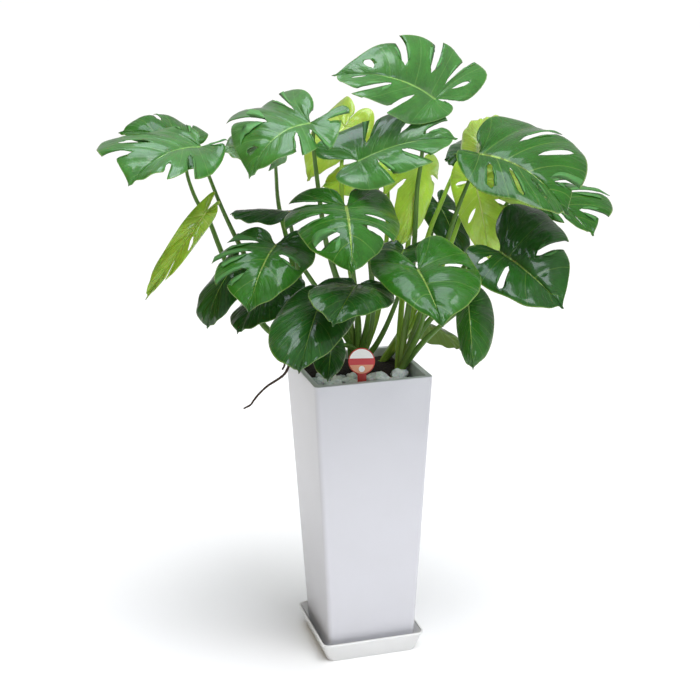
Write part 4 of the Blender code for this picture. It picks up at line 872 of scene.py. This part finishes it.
def fine_reach(item, half, s, side):
    """How far out a lobe reaches: slanted, with rounded corners."""
    ends = lobe_ends(item, half)
    if len(ends) == 2:
        return 1.0
    for a, b in zip(ends, ends[1:]):
        if a <= s <= b and not (s == b and side > 0) and not (s == a and side < 0 and a > SINUS):
            reach = 1.0
            if a > SINUS:
                reach -= SLANT*(1.0 - (s - a)/(b - a))**2
                reach -= NEAR_CORNER*max(0.0, 1.0 - (s - a)/CORNER_RUN)**2
            if b < 1.0:
                reach -= FAR_CORNER*max(0.0, 1.0 - (b - s)/CORNER_RUN)**2
            return reach
    return 1.0


def outward(v, reach):
    """How far out a row lies in a lobe that ends at reach."""
    return v if v <= INNER else INNER + (v - INNER)*(reach - INNER)/(1.0 - INNER)


def quilt(veins, s):
    """The bulge between two neighbouring veins, 0 on each vein; and their distance apart."""
    bounds = [SINUS - 0.06] + veins + [1.0]
    for a, b in zip(bounds, bounds[1:]):
        if a <= s <= b:
            t = (s - a)/(b - a)
            return (4*t*(1 - t))**0.8, b - a
    return 0.0, 0.0


def raised_points(item, axes, half, columns, veins, quilting):
    """The upper face of one half, with its quilting, creases and rolled rim, as points by
    column, side of a gap and row."""
    normal = axes[3]
    scale, seed, frill = item["scale"], item["seed"], item["frill"]
    width = item["halves"][half][0]
    table = {}
    for j, s, side, gap in columns:
        reach = fine_reach(item, half, s, side)*(1.0 + frill*math.sin(27.0*s + seed))
        bulge, apart = quilt(veins, s)
        tipward = min(1.0, (1.0 - s)/0.05)
        ribbed = max(0.0, min(1.0, (s - BASAL)/0.06))
        for i, v in enumerate(FINE_ROWS):
            spread = gap_half(gap, v) if gap else 0.0
            point = blade_point(item, axes, half, s + side*spread, outward(v, reach))
            rise = quilting*apart*2.2*width*bulge*math.sin(math.pi*v**0.6)
            crease = CREASE*v*noise.noise(Vector((19.0*s + seed, 5.5*v + half*9.0, seed)))
            flutter = FLUTTER*scale*v*noise.noise(Vector((3.1*s + seed, 1.7*v + half*5.0, seed)))
            ripple = RIPPLE*v*v*math.sin(38.0*s + seed) + 0.05*frill*v*math.sin(75.0*s + seed)
            groove = RIB_GROOVE*scale*math.exp(-(v/0.045)**2)*ribbed
            roll = RIM_ROLL*max(0.0, (v - 0.86)/0.14)**2
            table[j, side, i] = point + normal*(
                (rise + crease + flutter + ripple - groove - roll)*tipward)
    return table


def marked_points(item, axes, half, columns, veins, table):
    """The points of one half in the order of its columns, each with its five LEAF_MARKS."""
    foot, along, _, normal = axes
    midrib = [foot + w*along + normal*(item["arch"]*item["length"]*4*w*(1 - w))
              for w in (k/RIB_STEPS for k in range(RIB_STEPS + 1))]
    thick = max(0.6, item["scale"])
    by_place = {round(s, 6): j for j, s, side, gap in columns if side == 0}
    marked = []
    for j, s, side, gap in columns:
        vein_column = by_place[round(min(veins, key=lambda place: abs(place - s)), 6)]
        for i, v in enumerate(FINE_ROWS):
            point = table[j, side, i]
            out = (point - table[j, side, 0]).length
            rib = vein = 0.0
            if v > 0.0:
                near = min(range(RIB_STEPS + 1), key=lambda k: (point - midrib[k]).length_squared)
                rib = min(FARTHEST, out/((RIB_HALF - RIB_TAPER*near/RIB_STEPS)*thick))
            if v > 0.02:
                away = (point - table[vein_column, 0, i]).length
                vein = min(FARTHEST, away/(VEIN_HALF*max(0.18, 1.0 - 0.85*v)*thick))
            marked.append((point, rib, vein, 1.3*item["length"]*s + 0.5*half, out, v))
    return marked


def build_leaf(item, settings, mats):
    """One blade: its upper face as a grid, opened at the splits and holes, then thickened."""
    axes = blade_frame(item)
    halves = fine_columns(item)
    # A blade without splits is flatter, and one that is still unfurling is deeply quilted.
    quilting = settings.quilt*(1.0 if item["cuts"] else 0.75)*(2.2 if item["frill"] else 1.0)
    surface = []
    for half, columns in enumerate(halves):
        veins = side_veins(item, half)
        table = raised_points(item, axes, half, columns, veins, quilting)
        line = columns[::-1] if half else columns
        surface += marked_points(item, axes, half, line, veins, table)
    order = halves[0] + halves[1][::-1]
    rows = len(FINE_ROWS)
    blade = grid_piece("leaf_blade_" + item["name"], len(order), rows,
                       lambda c, r: surface[c*rows + r][0],
                       {label: lambda c, r, n=n: surface[c*rows + r][n]
                        for n, label in enumerate(LEAF_MARKS, 1)})

    def in_gap(column):
        here, beyond = order[column], order[column + 1]
        return here[0] == beyond[0] and here[3] is not None and column != len(halves[0]) - 1

    only(blade, "EDIT")
    select_picked(blade, lambda form: [f for f in form.faces if in_gap(f.index % (len(order) - 1))])
    bpy.ops.mesh.delete(type="ONLY_FACE")
    weld(blade, 0.000002)
    bpy.ops.mesh.delete_loose()
    close()
    if sum((f.normal*f.area for f in blade.data.polygons), Vector()).dot(axes[3]) < 0:
        blade.data.flip_normals()
    dress(blade, *mats)
    solid = blade.modifiers.new("Thickness", "SOLIDIFY")
    solid.thickness = settings.blade
    solid.offset = -1.0
    solid.material_offset = 1
    solid.material_offset_rim = 0
    only(blade)
    bpy.ops.object.modifier_apply(modifier="Thickness")
    bpy.ops.object.shade_smooth()
    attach(blade, "root")
    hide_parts("leaf_" + item["name"])


def spline(points, steps):
    """Points along a smooth path, one more than its steps."""
    return [Vector(smooth_path(points, i/steps)) for i in range(steps + 1)]


def petiole_line(item, stem, route, soil):
    """The petiole's centre line, from its stem's stub to just under its blade, and its radii."""
    x, y = STEMS[stem]
    first = Vector(route[0])*CM
    lean = Vector((first.x - x, first.y - y, 0)).normalized()*STUB_RADIUS
    foot, _, _, normal = blade_frame(item)
    # It starts in the soil, inside its stem's stub, and ends just under the blade.
    points = [(x + 0.4*lean.x, y + 0.4*lean.y, soil - 0.012),
              (x + 0.9*lean.x, y + 0.9*lean.y, soil + 0.008)]
    thick = PETIOLE_FOOT
    if first.z > SHOOT_Z:
        # This one branches off another petiole, well above the soil.
        points, thick = [], SHOOT_FOOT
    points += [tuple(Vector(p)*CM) for p in route]
    points += [tuple(foot - normal*0.016), tuple(foot - normal*0.0008)]
    line = spline(points, 9*(len(points) - 1))
    radii = []
    for i in range(len(line)):
        t = i/(len(line) - 1)
        # The knee just under the blade is a little thicker than the petiole below it.
        knee = 1.0 + 0.22*math.exp(-((t - 0.93)/0.035)**2)
        radii.append((thick + (PETIOLE_TOP - thick)*t**0.8)*knee)
    return line, radii


def tangent_at(line, row):
    return (line[min(row + 1, len(line) - 1)] - line[max(row - 1, 0)]).normalized()


def build_petiole(name, line, radii, towards, youth=0.0):
    """A grooved rod along a line; towards is the point on the ground that its groove faces."""
    last = len(line) - 1

    def bend(angle):
        return abs((angle + math.pi) % (2*math.pi) - math.pi)

    def skin(row, angle):
        tangent = tangent_at(line, row)
        inward = Vector((towards[0] - line[row].x, towards[1] - line[row].y, 0.06))
        inward = inward - tangent*inward.dot(tangent)
        if inward.length < 1e-5:
            inward = tangent.orthogonal()
        inward.normalize()
        groove = max(0.0, 1.0 - 1.35*row/last)
        radius = radii[row]*(1.0 - 0.22*math.exp(-(bend(angle)/0.42)**2)*min(1.0, 0.35 + groove))
        radius *= 1.0 + 0.34*groove*math.exp(-((bend(angle) - FLANK)/0.20)**2)
        return (inward*(radius*math.cos(angle))
                + tangent.cross(inward)*(radius*math.sin(angle)))

    def flank(row, angle):
        return math.exp(-((bend(angle) - FLANK)/0.26)**2)*max(0.0, 1.0 - 1.4*row/last)

    return tube(name, line, 18, skin, {"run": lambda row, angle: row/last, "edge": flank,
                                       "youth": lambda row, angle: youth})


# The drain hole's radius, and the clearances of the soil, the stones and the planter's foot.
DRAIN = 0.011
WALL_GAP, FLOOR_GAP = 0.0004, 0.0005
STONE_GAP = 0.004
REST_GAP = 0.0003
# How far the soil rises towards the back wall, how much higher the second layer of stones lies
# than the first, and the share of stones that are white.
BACK_RISE = 0.014
LAYER_STEP = 0.0085
WHITE_SHARE = 0.60

# The camera, worked out from the planter's edges in the photograph.
CAMERA_PLACE = (-0.6457, -2.2054, 1.183)
CAMERA_HEADING, CAMERA_TILT, CAMERA_ROLL = -16.01, 74.16, -0.62
FOCAL_PIXELS, PHOTO_PIXELS = 1413.9, 700.0

# Soft lights: name, power, size, colour, place and the point that each one faces.
SOFTBOXES = (
    ("overhead_softbox", 10.0, 1.0, "#E4EEFF", (-0.25, 0.25, 2.35), (0.05, 0, 0.85)),
    ("high_softbox", 13.0, 0.9, "#ECF2FF", (0.15, -0.75, 2.6), (0.05, 0, 0.8)),
    ("front_softbox", 13.0, 0.9, "#DFE8FF", (0.5, -3.2, 1.7), (0, 0, 0.65)),
)


def heap_soil(planter, high):
    """Crumbled soil that fills the planter and rises towards its back wall."""
    low = planter.stand + planter.floor + FLOOR_GAP
    half = cavity_half(planter, high) - WALL_GAP
    soil = tapered_block("potting_soil", low, high, cavity_half(planter, low) - WALL_GAP, half)
    bpy.ops.mesh.subdivide(number_cuts=70)
    close()
    for vert in soil.data.vertices:
        x, y, z = vert.co
        if z > high - 0.0001 and max(abs(x), abs(y)) < half - 0.003:
            crumb = noise.noise(Vector((x*240, y*240, 1.0)))*0.0016
            heap = noise.noise(Vector((x*38, y*38, 4.0)))*0.0030
            rise = min(1.0, max(0.0, (y + 0.015)/0.060))
            vert.co.z = high - 0.0012 + crumb + heap + BACK_RISE*rise*rise*(3.0 - 2.0*rise)
    return soil


def stone_spots(rng, count, usual, reach):
    """Where the stones lie, as (x, y, size, layer)."""
    # The largest stone lies at the front, to the right of the tag.
    spots = [(0.020, -0.056, 0.0190, 1)]
    for attempt in range(6000):
        if len(spots) >= count:
            break
        size = usual*rng.uniform(0.62, 1.12)
        x = rng.uniform(-reach + size, reach - size)
        y = rng.uniform(-reach + size*0.9, 0.012)
        # Most stones lie in the first layer, closer to each other than those in the second.
        layer, apart = (0, 0.78) if len(spots) < count*0.72 else (1, 0.95)
        free = all(math.hypot(x - q[0], y - q[1]) > apart*(size + q[2]) for q in spots if q[3] == layer)
        # The soil is bare in a hollow in front of the right stem, and round that stem.
        bare = math.hypot(x - 0.030, y + 0.010) <= 0.036 or math.hypot(x - 0.072, y - 0.002) <= 0.017
        if free and not bare:
            spots.append((x, y, size, layer))
    return spots


def broken_stone(rng, number, spot, soil):
    """A broken, flat-sided stone with softened edges."""
    x, y, size, layer = spot
    deselect()
    bpy.ops.mesh.primitive_ico_sphere_add(subdivisions=4, radius=size)
    stone = named("stone")
    seed = Vector((number*7.3, number*3.1, 0.0))
    long, flat = rng.uniform(1.0, 1.25), rng.uniform(0.55, 0.78)
    turn = Matrix.Rotation(rng.uniform(0, 6.28), 3, "Z") @ Matrix.Rotation(
        rng.uniform(-0.35, 0.35), 3, "X")
    middle = Vector((x, y, soil + size*flat*0.75 + layer*LAYER_STEP))
    for vert in stone.data.vertices:
        p = vert.co.normalized()
        facet = noise.noise(p*1.3 + seed)*0.30 + noise.noise(p*3.1 + seed)*0.10
        grit = noise.noise(p*9.0 + seed)*0.025
        q = p*size*(1.0 + facet + grit)
        vert.co = middle + turn @ Vector((q.x*long, q.y, q.z*flat))
    bpy.ops.object.shade_smooth()
    return stone


def standing_disc(name, sides, radius, thick, place, border):
    """A disc that faces the front, left in edit mode with a border set round its face."""
    deselect()
    bpy.ops.mesh.primitive_cylinder_add(vertices=sides, radius=radius, depth=thick,
                                        location=place, rotation=(math.pi/2, 0, 0))
    disc = named(name)
    settle(disc)
    bpy.ops.object.mode_set(mode="EDIT")
    select_faces(disc, lambda p, n: n.y < -0.9)
    bpy.ops.mesh.inset(thickness=border)
    return disc


# Operators

class MONSTERA_OT_planter(bpy.types.Operator):
    """Models the planter and gives it its satin glaze"""
    bl_idname = "monstera.planter"
    bl_label = "Planter"

    def execute(self, context):
        s = context.scene.monstera_planter
        floor = s.stand + s.floor
        pot = open_box("glazed_planter", s.stand, s.stand + s.height, s.foot_half, s.rim_half,
                       s.wall, floor, cavity_half(s, floor), (s.corner, s.corner/2))
        soften(radius=0.0016, steps=4)
        close()
        bpy.ops.mesh.primitive_cylinder_add(vertices=40, radius=DRAIN, depth=5*s.floor,
                                            location=(0, 0, s.stand + 0.01))
        drain = bpy.context.object
        only(pot)
        cut = pot.modifiers.new("Drain", "BOOLEAN")
        cut.operation = "DIFFERENCE"
        cut.object = drain
        bpy.ops.object.modifier_apply(modifier="Drain")
        bpy.data.objects.remove(drain, do_unlink=True)
        smooth(pot)
        dress(pot, satin_glaze(tuple(s.glaze)))
        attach(pot, "root")
        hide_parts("pot")
        return {"FINISHED"}


class MONSTERA_OT_saucer(bpy.types.Operator):
    """Models the shallow saucer with its thin rolled lip"""
    bl_idname = "monstera.saucer"
    bl_label = "Saucer"

    def execute(self, context):
        s = context.scene.monstera_planter
        high = s.saucer_height
        under_lip = s.saucer_top - 0.0016
        # As high up as the tray's floor, its outside is a little wider than its foot.
        floor_half = s.saucer_foot + 0.0014 - s.saucer_wall
        tray = open_box("moulded_saucer", 0.0, high, s.saucer_foot, under_lip, s.saucer_wall,
                        s.stand - REST_GAP, floor_half, (0.0125, 0.0100))
        # The lip: the outer side's top few millimetres stand proud of the wall.
        lip_height, lip_proud = 0.0036, 0.0015
        bpy.ops.mesh.select_all(action="SELECT")
        bpy.ops.mesh.bisect(plane_co=(0, 0, high - lip_height), plane_no=(0, 0, 1))
        select_faces(tray, lambda p, n: p.z > high - 0.8*lip_height and n.xy.dot(p.xy) > 0
                     and abs(n.z) < 0.6)
        bpy.ops.mesh.extrude_region_shrink_fatten(TRANSFORM_OT_shrink_fatten={"value": lip_proud})
        soften(radius=0.0006, steps=3)
        close()
        smooth(tray, 40)
        dress(tray, moulded_plastic(tuple(s.saucer)))
        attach(tray, "root")
        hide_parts("saucer")
        return {"FINISHED"}


class MONSTERA_OT_ground(bpy.types.Operator):
    """Models the soil and the stones on it"""
    bl_idname = "monstera.ground"
    bl_label = "Soil and stones"

    def execute(self, context):
        g = context.scene.monstera_ground
        planter = context.scene.monstera_planter
        soil = heap_soil(planter, g.soil_top)
        smooth(soil, 60)
        dress(soil, damp_soil())
        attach(soil, "root")
        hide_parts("soil")

        rng = random.Random(11)
        piles = ((quartz("cloudy_white_quartz", "#FBFCFB", "#CDD3D0", 0.38), []),
                 (quartz("grey_quartz", "#CBD1CE", "#8F9894", 0.45), []))
        reach = cavity_half(planter, g.soil_top) - WALL_GAP - STONE_GAP
        for number, spot in enumerate(stone_spots(rng, g.stones, g.stone, reach)):
            stone = broken_stone(rng, number, spot, g.soil_top)
            kind, pile = piles[0 if rng.random() < WHITE_SHARE or number == 0 else 1]
            dress(stone, kind)
            pile.append(stone)
        for kind, pile in piles:
            heap = joined(pile, "stones_" + kind.name)
            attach(heap, "root")
            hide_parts("gravel")
        return {"FINISHED"}


class MONSTERA_OT_tag(bpy.types.Operator):
    """Models the round name tag on its stake, with plain bands of colour"""
    bl_idname = "monstera.tag"
    bl_label = "Name tag"

    def execute(self, context):
        g = context.scene.monstera_ground
        radius, disc_thick, rim = g.tag_disc, 0.0016, 0.0017
        band_top, band_low = 0.0048, -0.0060
        disc = standing_disc("tag_disc", sides=72, radius=radius, thick=disc_thick,
                             place=(0, 0, 0), border=rim)
        for level in (band_top, band_low):
            select_faces(disc, lambda p, n: n.y < -0.9 and p.xz.length < radius*0.9)
            bpy.ops.mesh.bisect(plane_co=(0, 0, level), plane_no=(0, 0, 1))
        select_edges(disc, lambda a, b: min(a.xz.length, b.xz.length) > radius*0.99
                     and abs(a.y - b.y) < 0.0001)
        bpy.ops.mesh.bevel(offset=0.0003, segments=2, affect="EDGES")
        close()
        red, white, band, peach = [tag_plastic(name, colour) for name, colour in (
            ("tag_red_plastic", tuple(g.tag_red)), ("tag_white_print", linear("#FBF9F6")),
            ("tag_band_print", linear("#CC4348")), ("tag_peach_print", linear("#E9A280")))]
        dress(disc, red, white, band, peach)
        for face in disc.data.polygons:
            x, y, z = face.center
            if face.normal.y < -0.9 and math.hypot(x, z) < radius - rim:
                face.material_index = 1 if z > band_top else 2 if z > band_low else 3
        spot = standing_disc("tag_spot", sides=40, radius=0.0050, thick=0.0004,
                             place=(0, -disc_thick/2 - 0.0001, -0.0127), border=0.0008)
        close()
        dress(spot, white)
        # The stake is as wide all the way down, and then runs out to a point.
        width, thick = 0.0148, 0.0012
        top, shoulder, point = -0.0105, -0.0590, -0.0705
        deselect()
        bpy.ops.mesh.primitive_cube_add(size=1)
        stake = named("tag_stake")
        stake.scale = (width, thick, top - shoulder)
        stake.location = (0, 0, (top + shoulder)/2)
        settle(stake)
        bpy.ops.object.mode_set(mode="EDIT")
        select_faces(stake, lambda p, n: n.z < -0.9)
        bpy.ops.mesh.extrude_region_move(TRANSFORM_OT_translate={"value": (0, 0, point - shoulder)})
        bpy.ops.transform.resize(value=(0.08, 1, 1), center_override=(0, 0, point))
        select_edges(stake, lambda a, b: abs(a.z - b.z) > 0.01)
        bpy.ops.mesh.bevel(offset=0.0003, segments=2, affect="EDGES")
        close()
        dress(stake, red)
        # It stands in the stones along the front, turned a little to the left and leaning back.
        stand = (Matrix.Translation((-0.0145, -0.0740, 0.533))
                 @ Matrix.Rotation(math.radians(-14), 4, "Z")
                 @ Matrix.Rotation(math.radians(-9), 4, "X"))
        for piece in (disc, spot, stake):
            piece.data.transform(stand)
            smooth(piece, 30)
            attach(piece, "root")
            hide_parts("name_tag")
        return {"FINISHED"}


class MONSTERA_OT_leaves(bpy.types.Operator):
    """Shapes every leaf blade from a grid, with its splits, holes, veins and quilting"""
    bl_idname = "monstera.leaves"
    bl_label = "Leaves"

    def execute(self, context):
        s = context.scene.monstera_foliage
        kinds = {}
        # Each finish is a leaf age, and some also hold painted light and others painted shade.
        for finish_key, (over, under, under_rib, look) in LEAF_FINISHES.items():
            ribs = [linear(colour) if colour else tuple(s.rib) for colour in (over, under_rib)]
            kinds[finish_key] = (leaf_top(finish_key + "_leaf_wax", tuple(getattr(s, finish_key)), ribs[0], **look),
                          leaf_under(finish_key + "_leaf_underside", linear(under), ribs[1]))
        for item in LEAVES:
            build_leaf(item, s, kinds[leaf_age_and_light(item)])
        return {"FINISHED"}


class MONSTERA_OT_petioles(bpy.types.Operator):
    """Shapes each group of petioles, grooved and with papery edges"""
    bl_idname = "monstera.petioles"
    bl_label = "Petioles"

    def execute(self, context):
        s = context.scene.monstera_foliage
        soil = context.scene.monstera_ground.soil_top
        skin = petiole_skin(tuple(s.petiole), tuple(s.young))
        for stem, (x, y) in STEMS.items():
            rods = []
            for item in LEAVES:
                owner, route = PETIOLES[item["name"]]
                if owner == stem:
                    line, radii = petiole_line(item, stem, route, soil)
                    rods.append(build_petiole("petiole_" + item["name"], line, radii, (x, y),
                                              youth=float(item["kind"] == "lime")))
            collar = [Vector((x, y, z)) for z, radius in COLLAR]
            rods.append(build_petiole("collar", collar, [radius for z, radius in COLLAR],
                                      (x + 1.0, y)))
            group = joined(rods, "petioles_" + stem.removeprefix("stem_"))
            dress(group, skin)
            bpy.ops.object.shade_smooth()
            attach(group, "root")
            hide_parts(stem)
        return {"FINISHED"}


class MONSTERA_OT_roots(bpy.types.Operator):
    """Shapes the two aerial roots that hang over the rim"""
    bl_idname = "monstera.roots"
    bl_label = "Aerial roots"

    def execute(self, context):
        bark = root_bark()
        for name, route in (("aerial_root_long", ROOT_LONG), ("aerial_root_short", ROOT_SHORT)):
            line = spline([tuple(Vector(p)*CM) for p in route], 10*len(route))

            def skin(row, angle, line=line, knots=len(route)):
                t = row/(len(line) - 1)
                knot = 1.0 + 0.16*noise.noise(Vector((t*26.0, knots, 0)))
                radius = ROOT_RADIUS*(1.0 - ROOT_TAPER*t)*knot
                tangent = tangent_at(line, row)
                across = tangent.orthogonal().normalized()
                return (across*(radius*math.cos(angle))
                        + tangent.cross(across)*(radius*math.sin(angle)))

            root = tube("bark_" + name, line, 12, skin, {})
            bpy.ops.object.shade_smooth()
            dress(root, bark)
            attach(root, "root")
            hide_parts(name)
        return {"FINISHED"}


class MONSTERA_OT_stage(bpy.types.Operator):
    """Adds the white floor, the soft lights and the camera"""
    bl_idname = "monstera.stage"
    bl_label = "Stage"

    def execute(self, context):
        scene = context.scene
        self.lay_floor()
        self.hang_lights()
        scene.world = scene.world or bpy.data.worlds.new("Studio")
        self.paint_room(scene.world)
        scene.view_settings.view_transform = "Standard"
        bpy.ops.object.camera_add()
        camera = bpy.context.object
        camera.name = "photo_camera"
        camera.matrix_world = (Matrix.Translation(CAMERA_PLACE)
                               @ Matrix.Rotation(math.radians(CAMERA_HEADING), 4, "Z")
                               @ Matrix.Rotation(math.radians(CAMERA_TILT), 4, "X")
                               @ Matrix.Rotation(math.radians(CAMERA_ROLL), 4, "Z"))
        camera.data.sensor_width = 36.0
        camera.data.lens = FOCAL_PIXELS*camera.data.sensor_width/PHOTO_PIXELS
        scene.camera = camera
        return {"FINISHED"}

    def lay_floor(self):
        deselect()
        bpy.ops.mesh.primitive_plane_add(size=240.0, location=(0, 0, 0))
        floor = named("floor_paper")
        bpy.ops.object.mode_set(mode="EDIT")
        bpy.ops.mesh.subdivide(number_cuts=3)
        close()
        dress(floor, paper_floor())

    def hang_lights(self):
        bpy.ops.object.light_add(type="SUN", location=(1.0, -3.0, 5.0))
        sun = bpy.context.object
        sun.name = "key_light"
        sun.data.energy = 2.54
        sun.data.angle = math.radians(46)
        # The key is too wide to mirror in a leaf; the softboxes give the leaves their shine.
        sun.visible_glossy = False
        sun.rotation_euler = Vector((0.13, -0.32, 0.94)).to_track_quat("Z", "Y").to_euler()
        for name, energy, size, colour, place, aim in SOFTBOXES:
            deselect()
            bpy.ops.object.light_add(type="AREA", location=place)
            lamp = bpy.context.object
            lamp.name = name
            lamp.data.energy = energy
            lamp.data.size = size
            lamp.data.color = linear(colour)
            lamp.rotation_euler = (Vector(aim) - Vector(place)).to_track_quat("-Z", "Y").to_euler()

    def paint_room(self, world):
        """The room is white, and warmer on the left; the floor's horizon meets plain white."""
        world.use_nodes = True
        tree = world.node_tree
        way = add_node(tree, "TexCoord", output="Generated")
        side = add_node(tree, "SeparateXYZ", {"Vector": way}, output="X")
        turn = add_node(tree, "MapRange", {"Value": side, "From Min": -0.95, "From Max": -0.15},
                        interpolation_type="SMOOTHSTEP")
        room = add_node(tree, "Mix", {0: turn, 6: rgba("#A28A55"), 7: rgba("#FFFFFF")},
                        data_type="RGBA")
        sky = tree.nodes["Background"]
        feed(sky, {"Color": room, "Strength": 0.38})
        paper = add_node(tree, "Background", {"Color": rgba("#FFFFFF")})
        straight = add_node(tree, "LightPath", output="Is Camera Ray")
        seen = add_node(tree, "MixShader", {0: straight, 1: sky.outputs["Background"], 2: paper})
        feed(tree.nodes["World Output"], {"Surface": seen})


class MONSTERA_PT_panel(bpy.types.Panel):
    """Lists the settings and the pieces of the potted monstera"""
    bl_label = "Potted Monstera"
    bl_idname = "MONSTERA_PT_panel"
    bl_space_type = "VIEW_3D"
    bl_region_type = "UI"
    bl_category = "Monstera"

    def draw(self, context):
        for group in SETTINGS:
            settings = getattr(context.scene, group)
            box = self.layout.box()
            for key in settings.__annotations__:
                box.prop(settings, key)
        for piece in OPERATORS:
            self.layout.operator(piece.bl_idname)


SETTINGS = {"monstera_planter": PlanterSettings, "monstera_foliage": FoliageSettings,
            "monstera_ground": GroundSettings}
OPERATORS = (MONSTERA_OT_planter, MONSTERA_OT_saucer, MONSTERA_OT_ground, MONSTERA_OT_tag,
             MONSTERA_OT_leaves, MONSTERA_OT_petioles, MONSTERA_OT_roots, MONSTERA_OT_stage)
CLASSES = (*SETTINGS.values(), *OPERATORS, MONSTERA_PT_panel)


def register():
    for item in CLASSES:
        bpy.utils.register_class(item)
    for name, group in SETTINGS.items():
        setattr(bpy.types.Scene, name, bpy.props.PointerProperty(type=group))


def unregister():
    for name in SETTINGS:
        delattr(bpy.types.Scene, name)
    for item in reversed(CLASSES):
        bpy.utils.unregister_class(item)


def main():
    register()
    for piece in OPERATORS:
        group, name = piece.bl_idname.split(".")
        getattr(getattr(bpy.ops, group), name)()
    deselect()


if __name__ == "__main__":
    main()
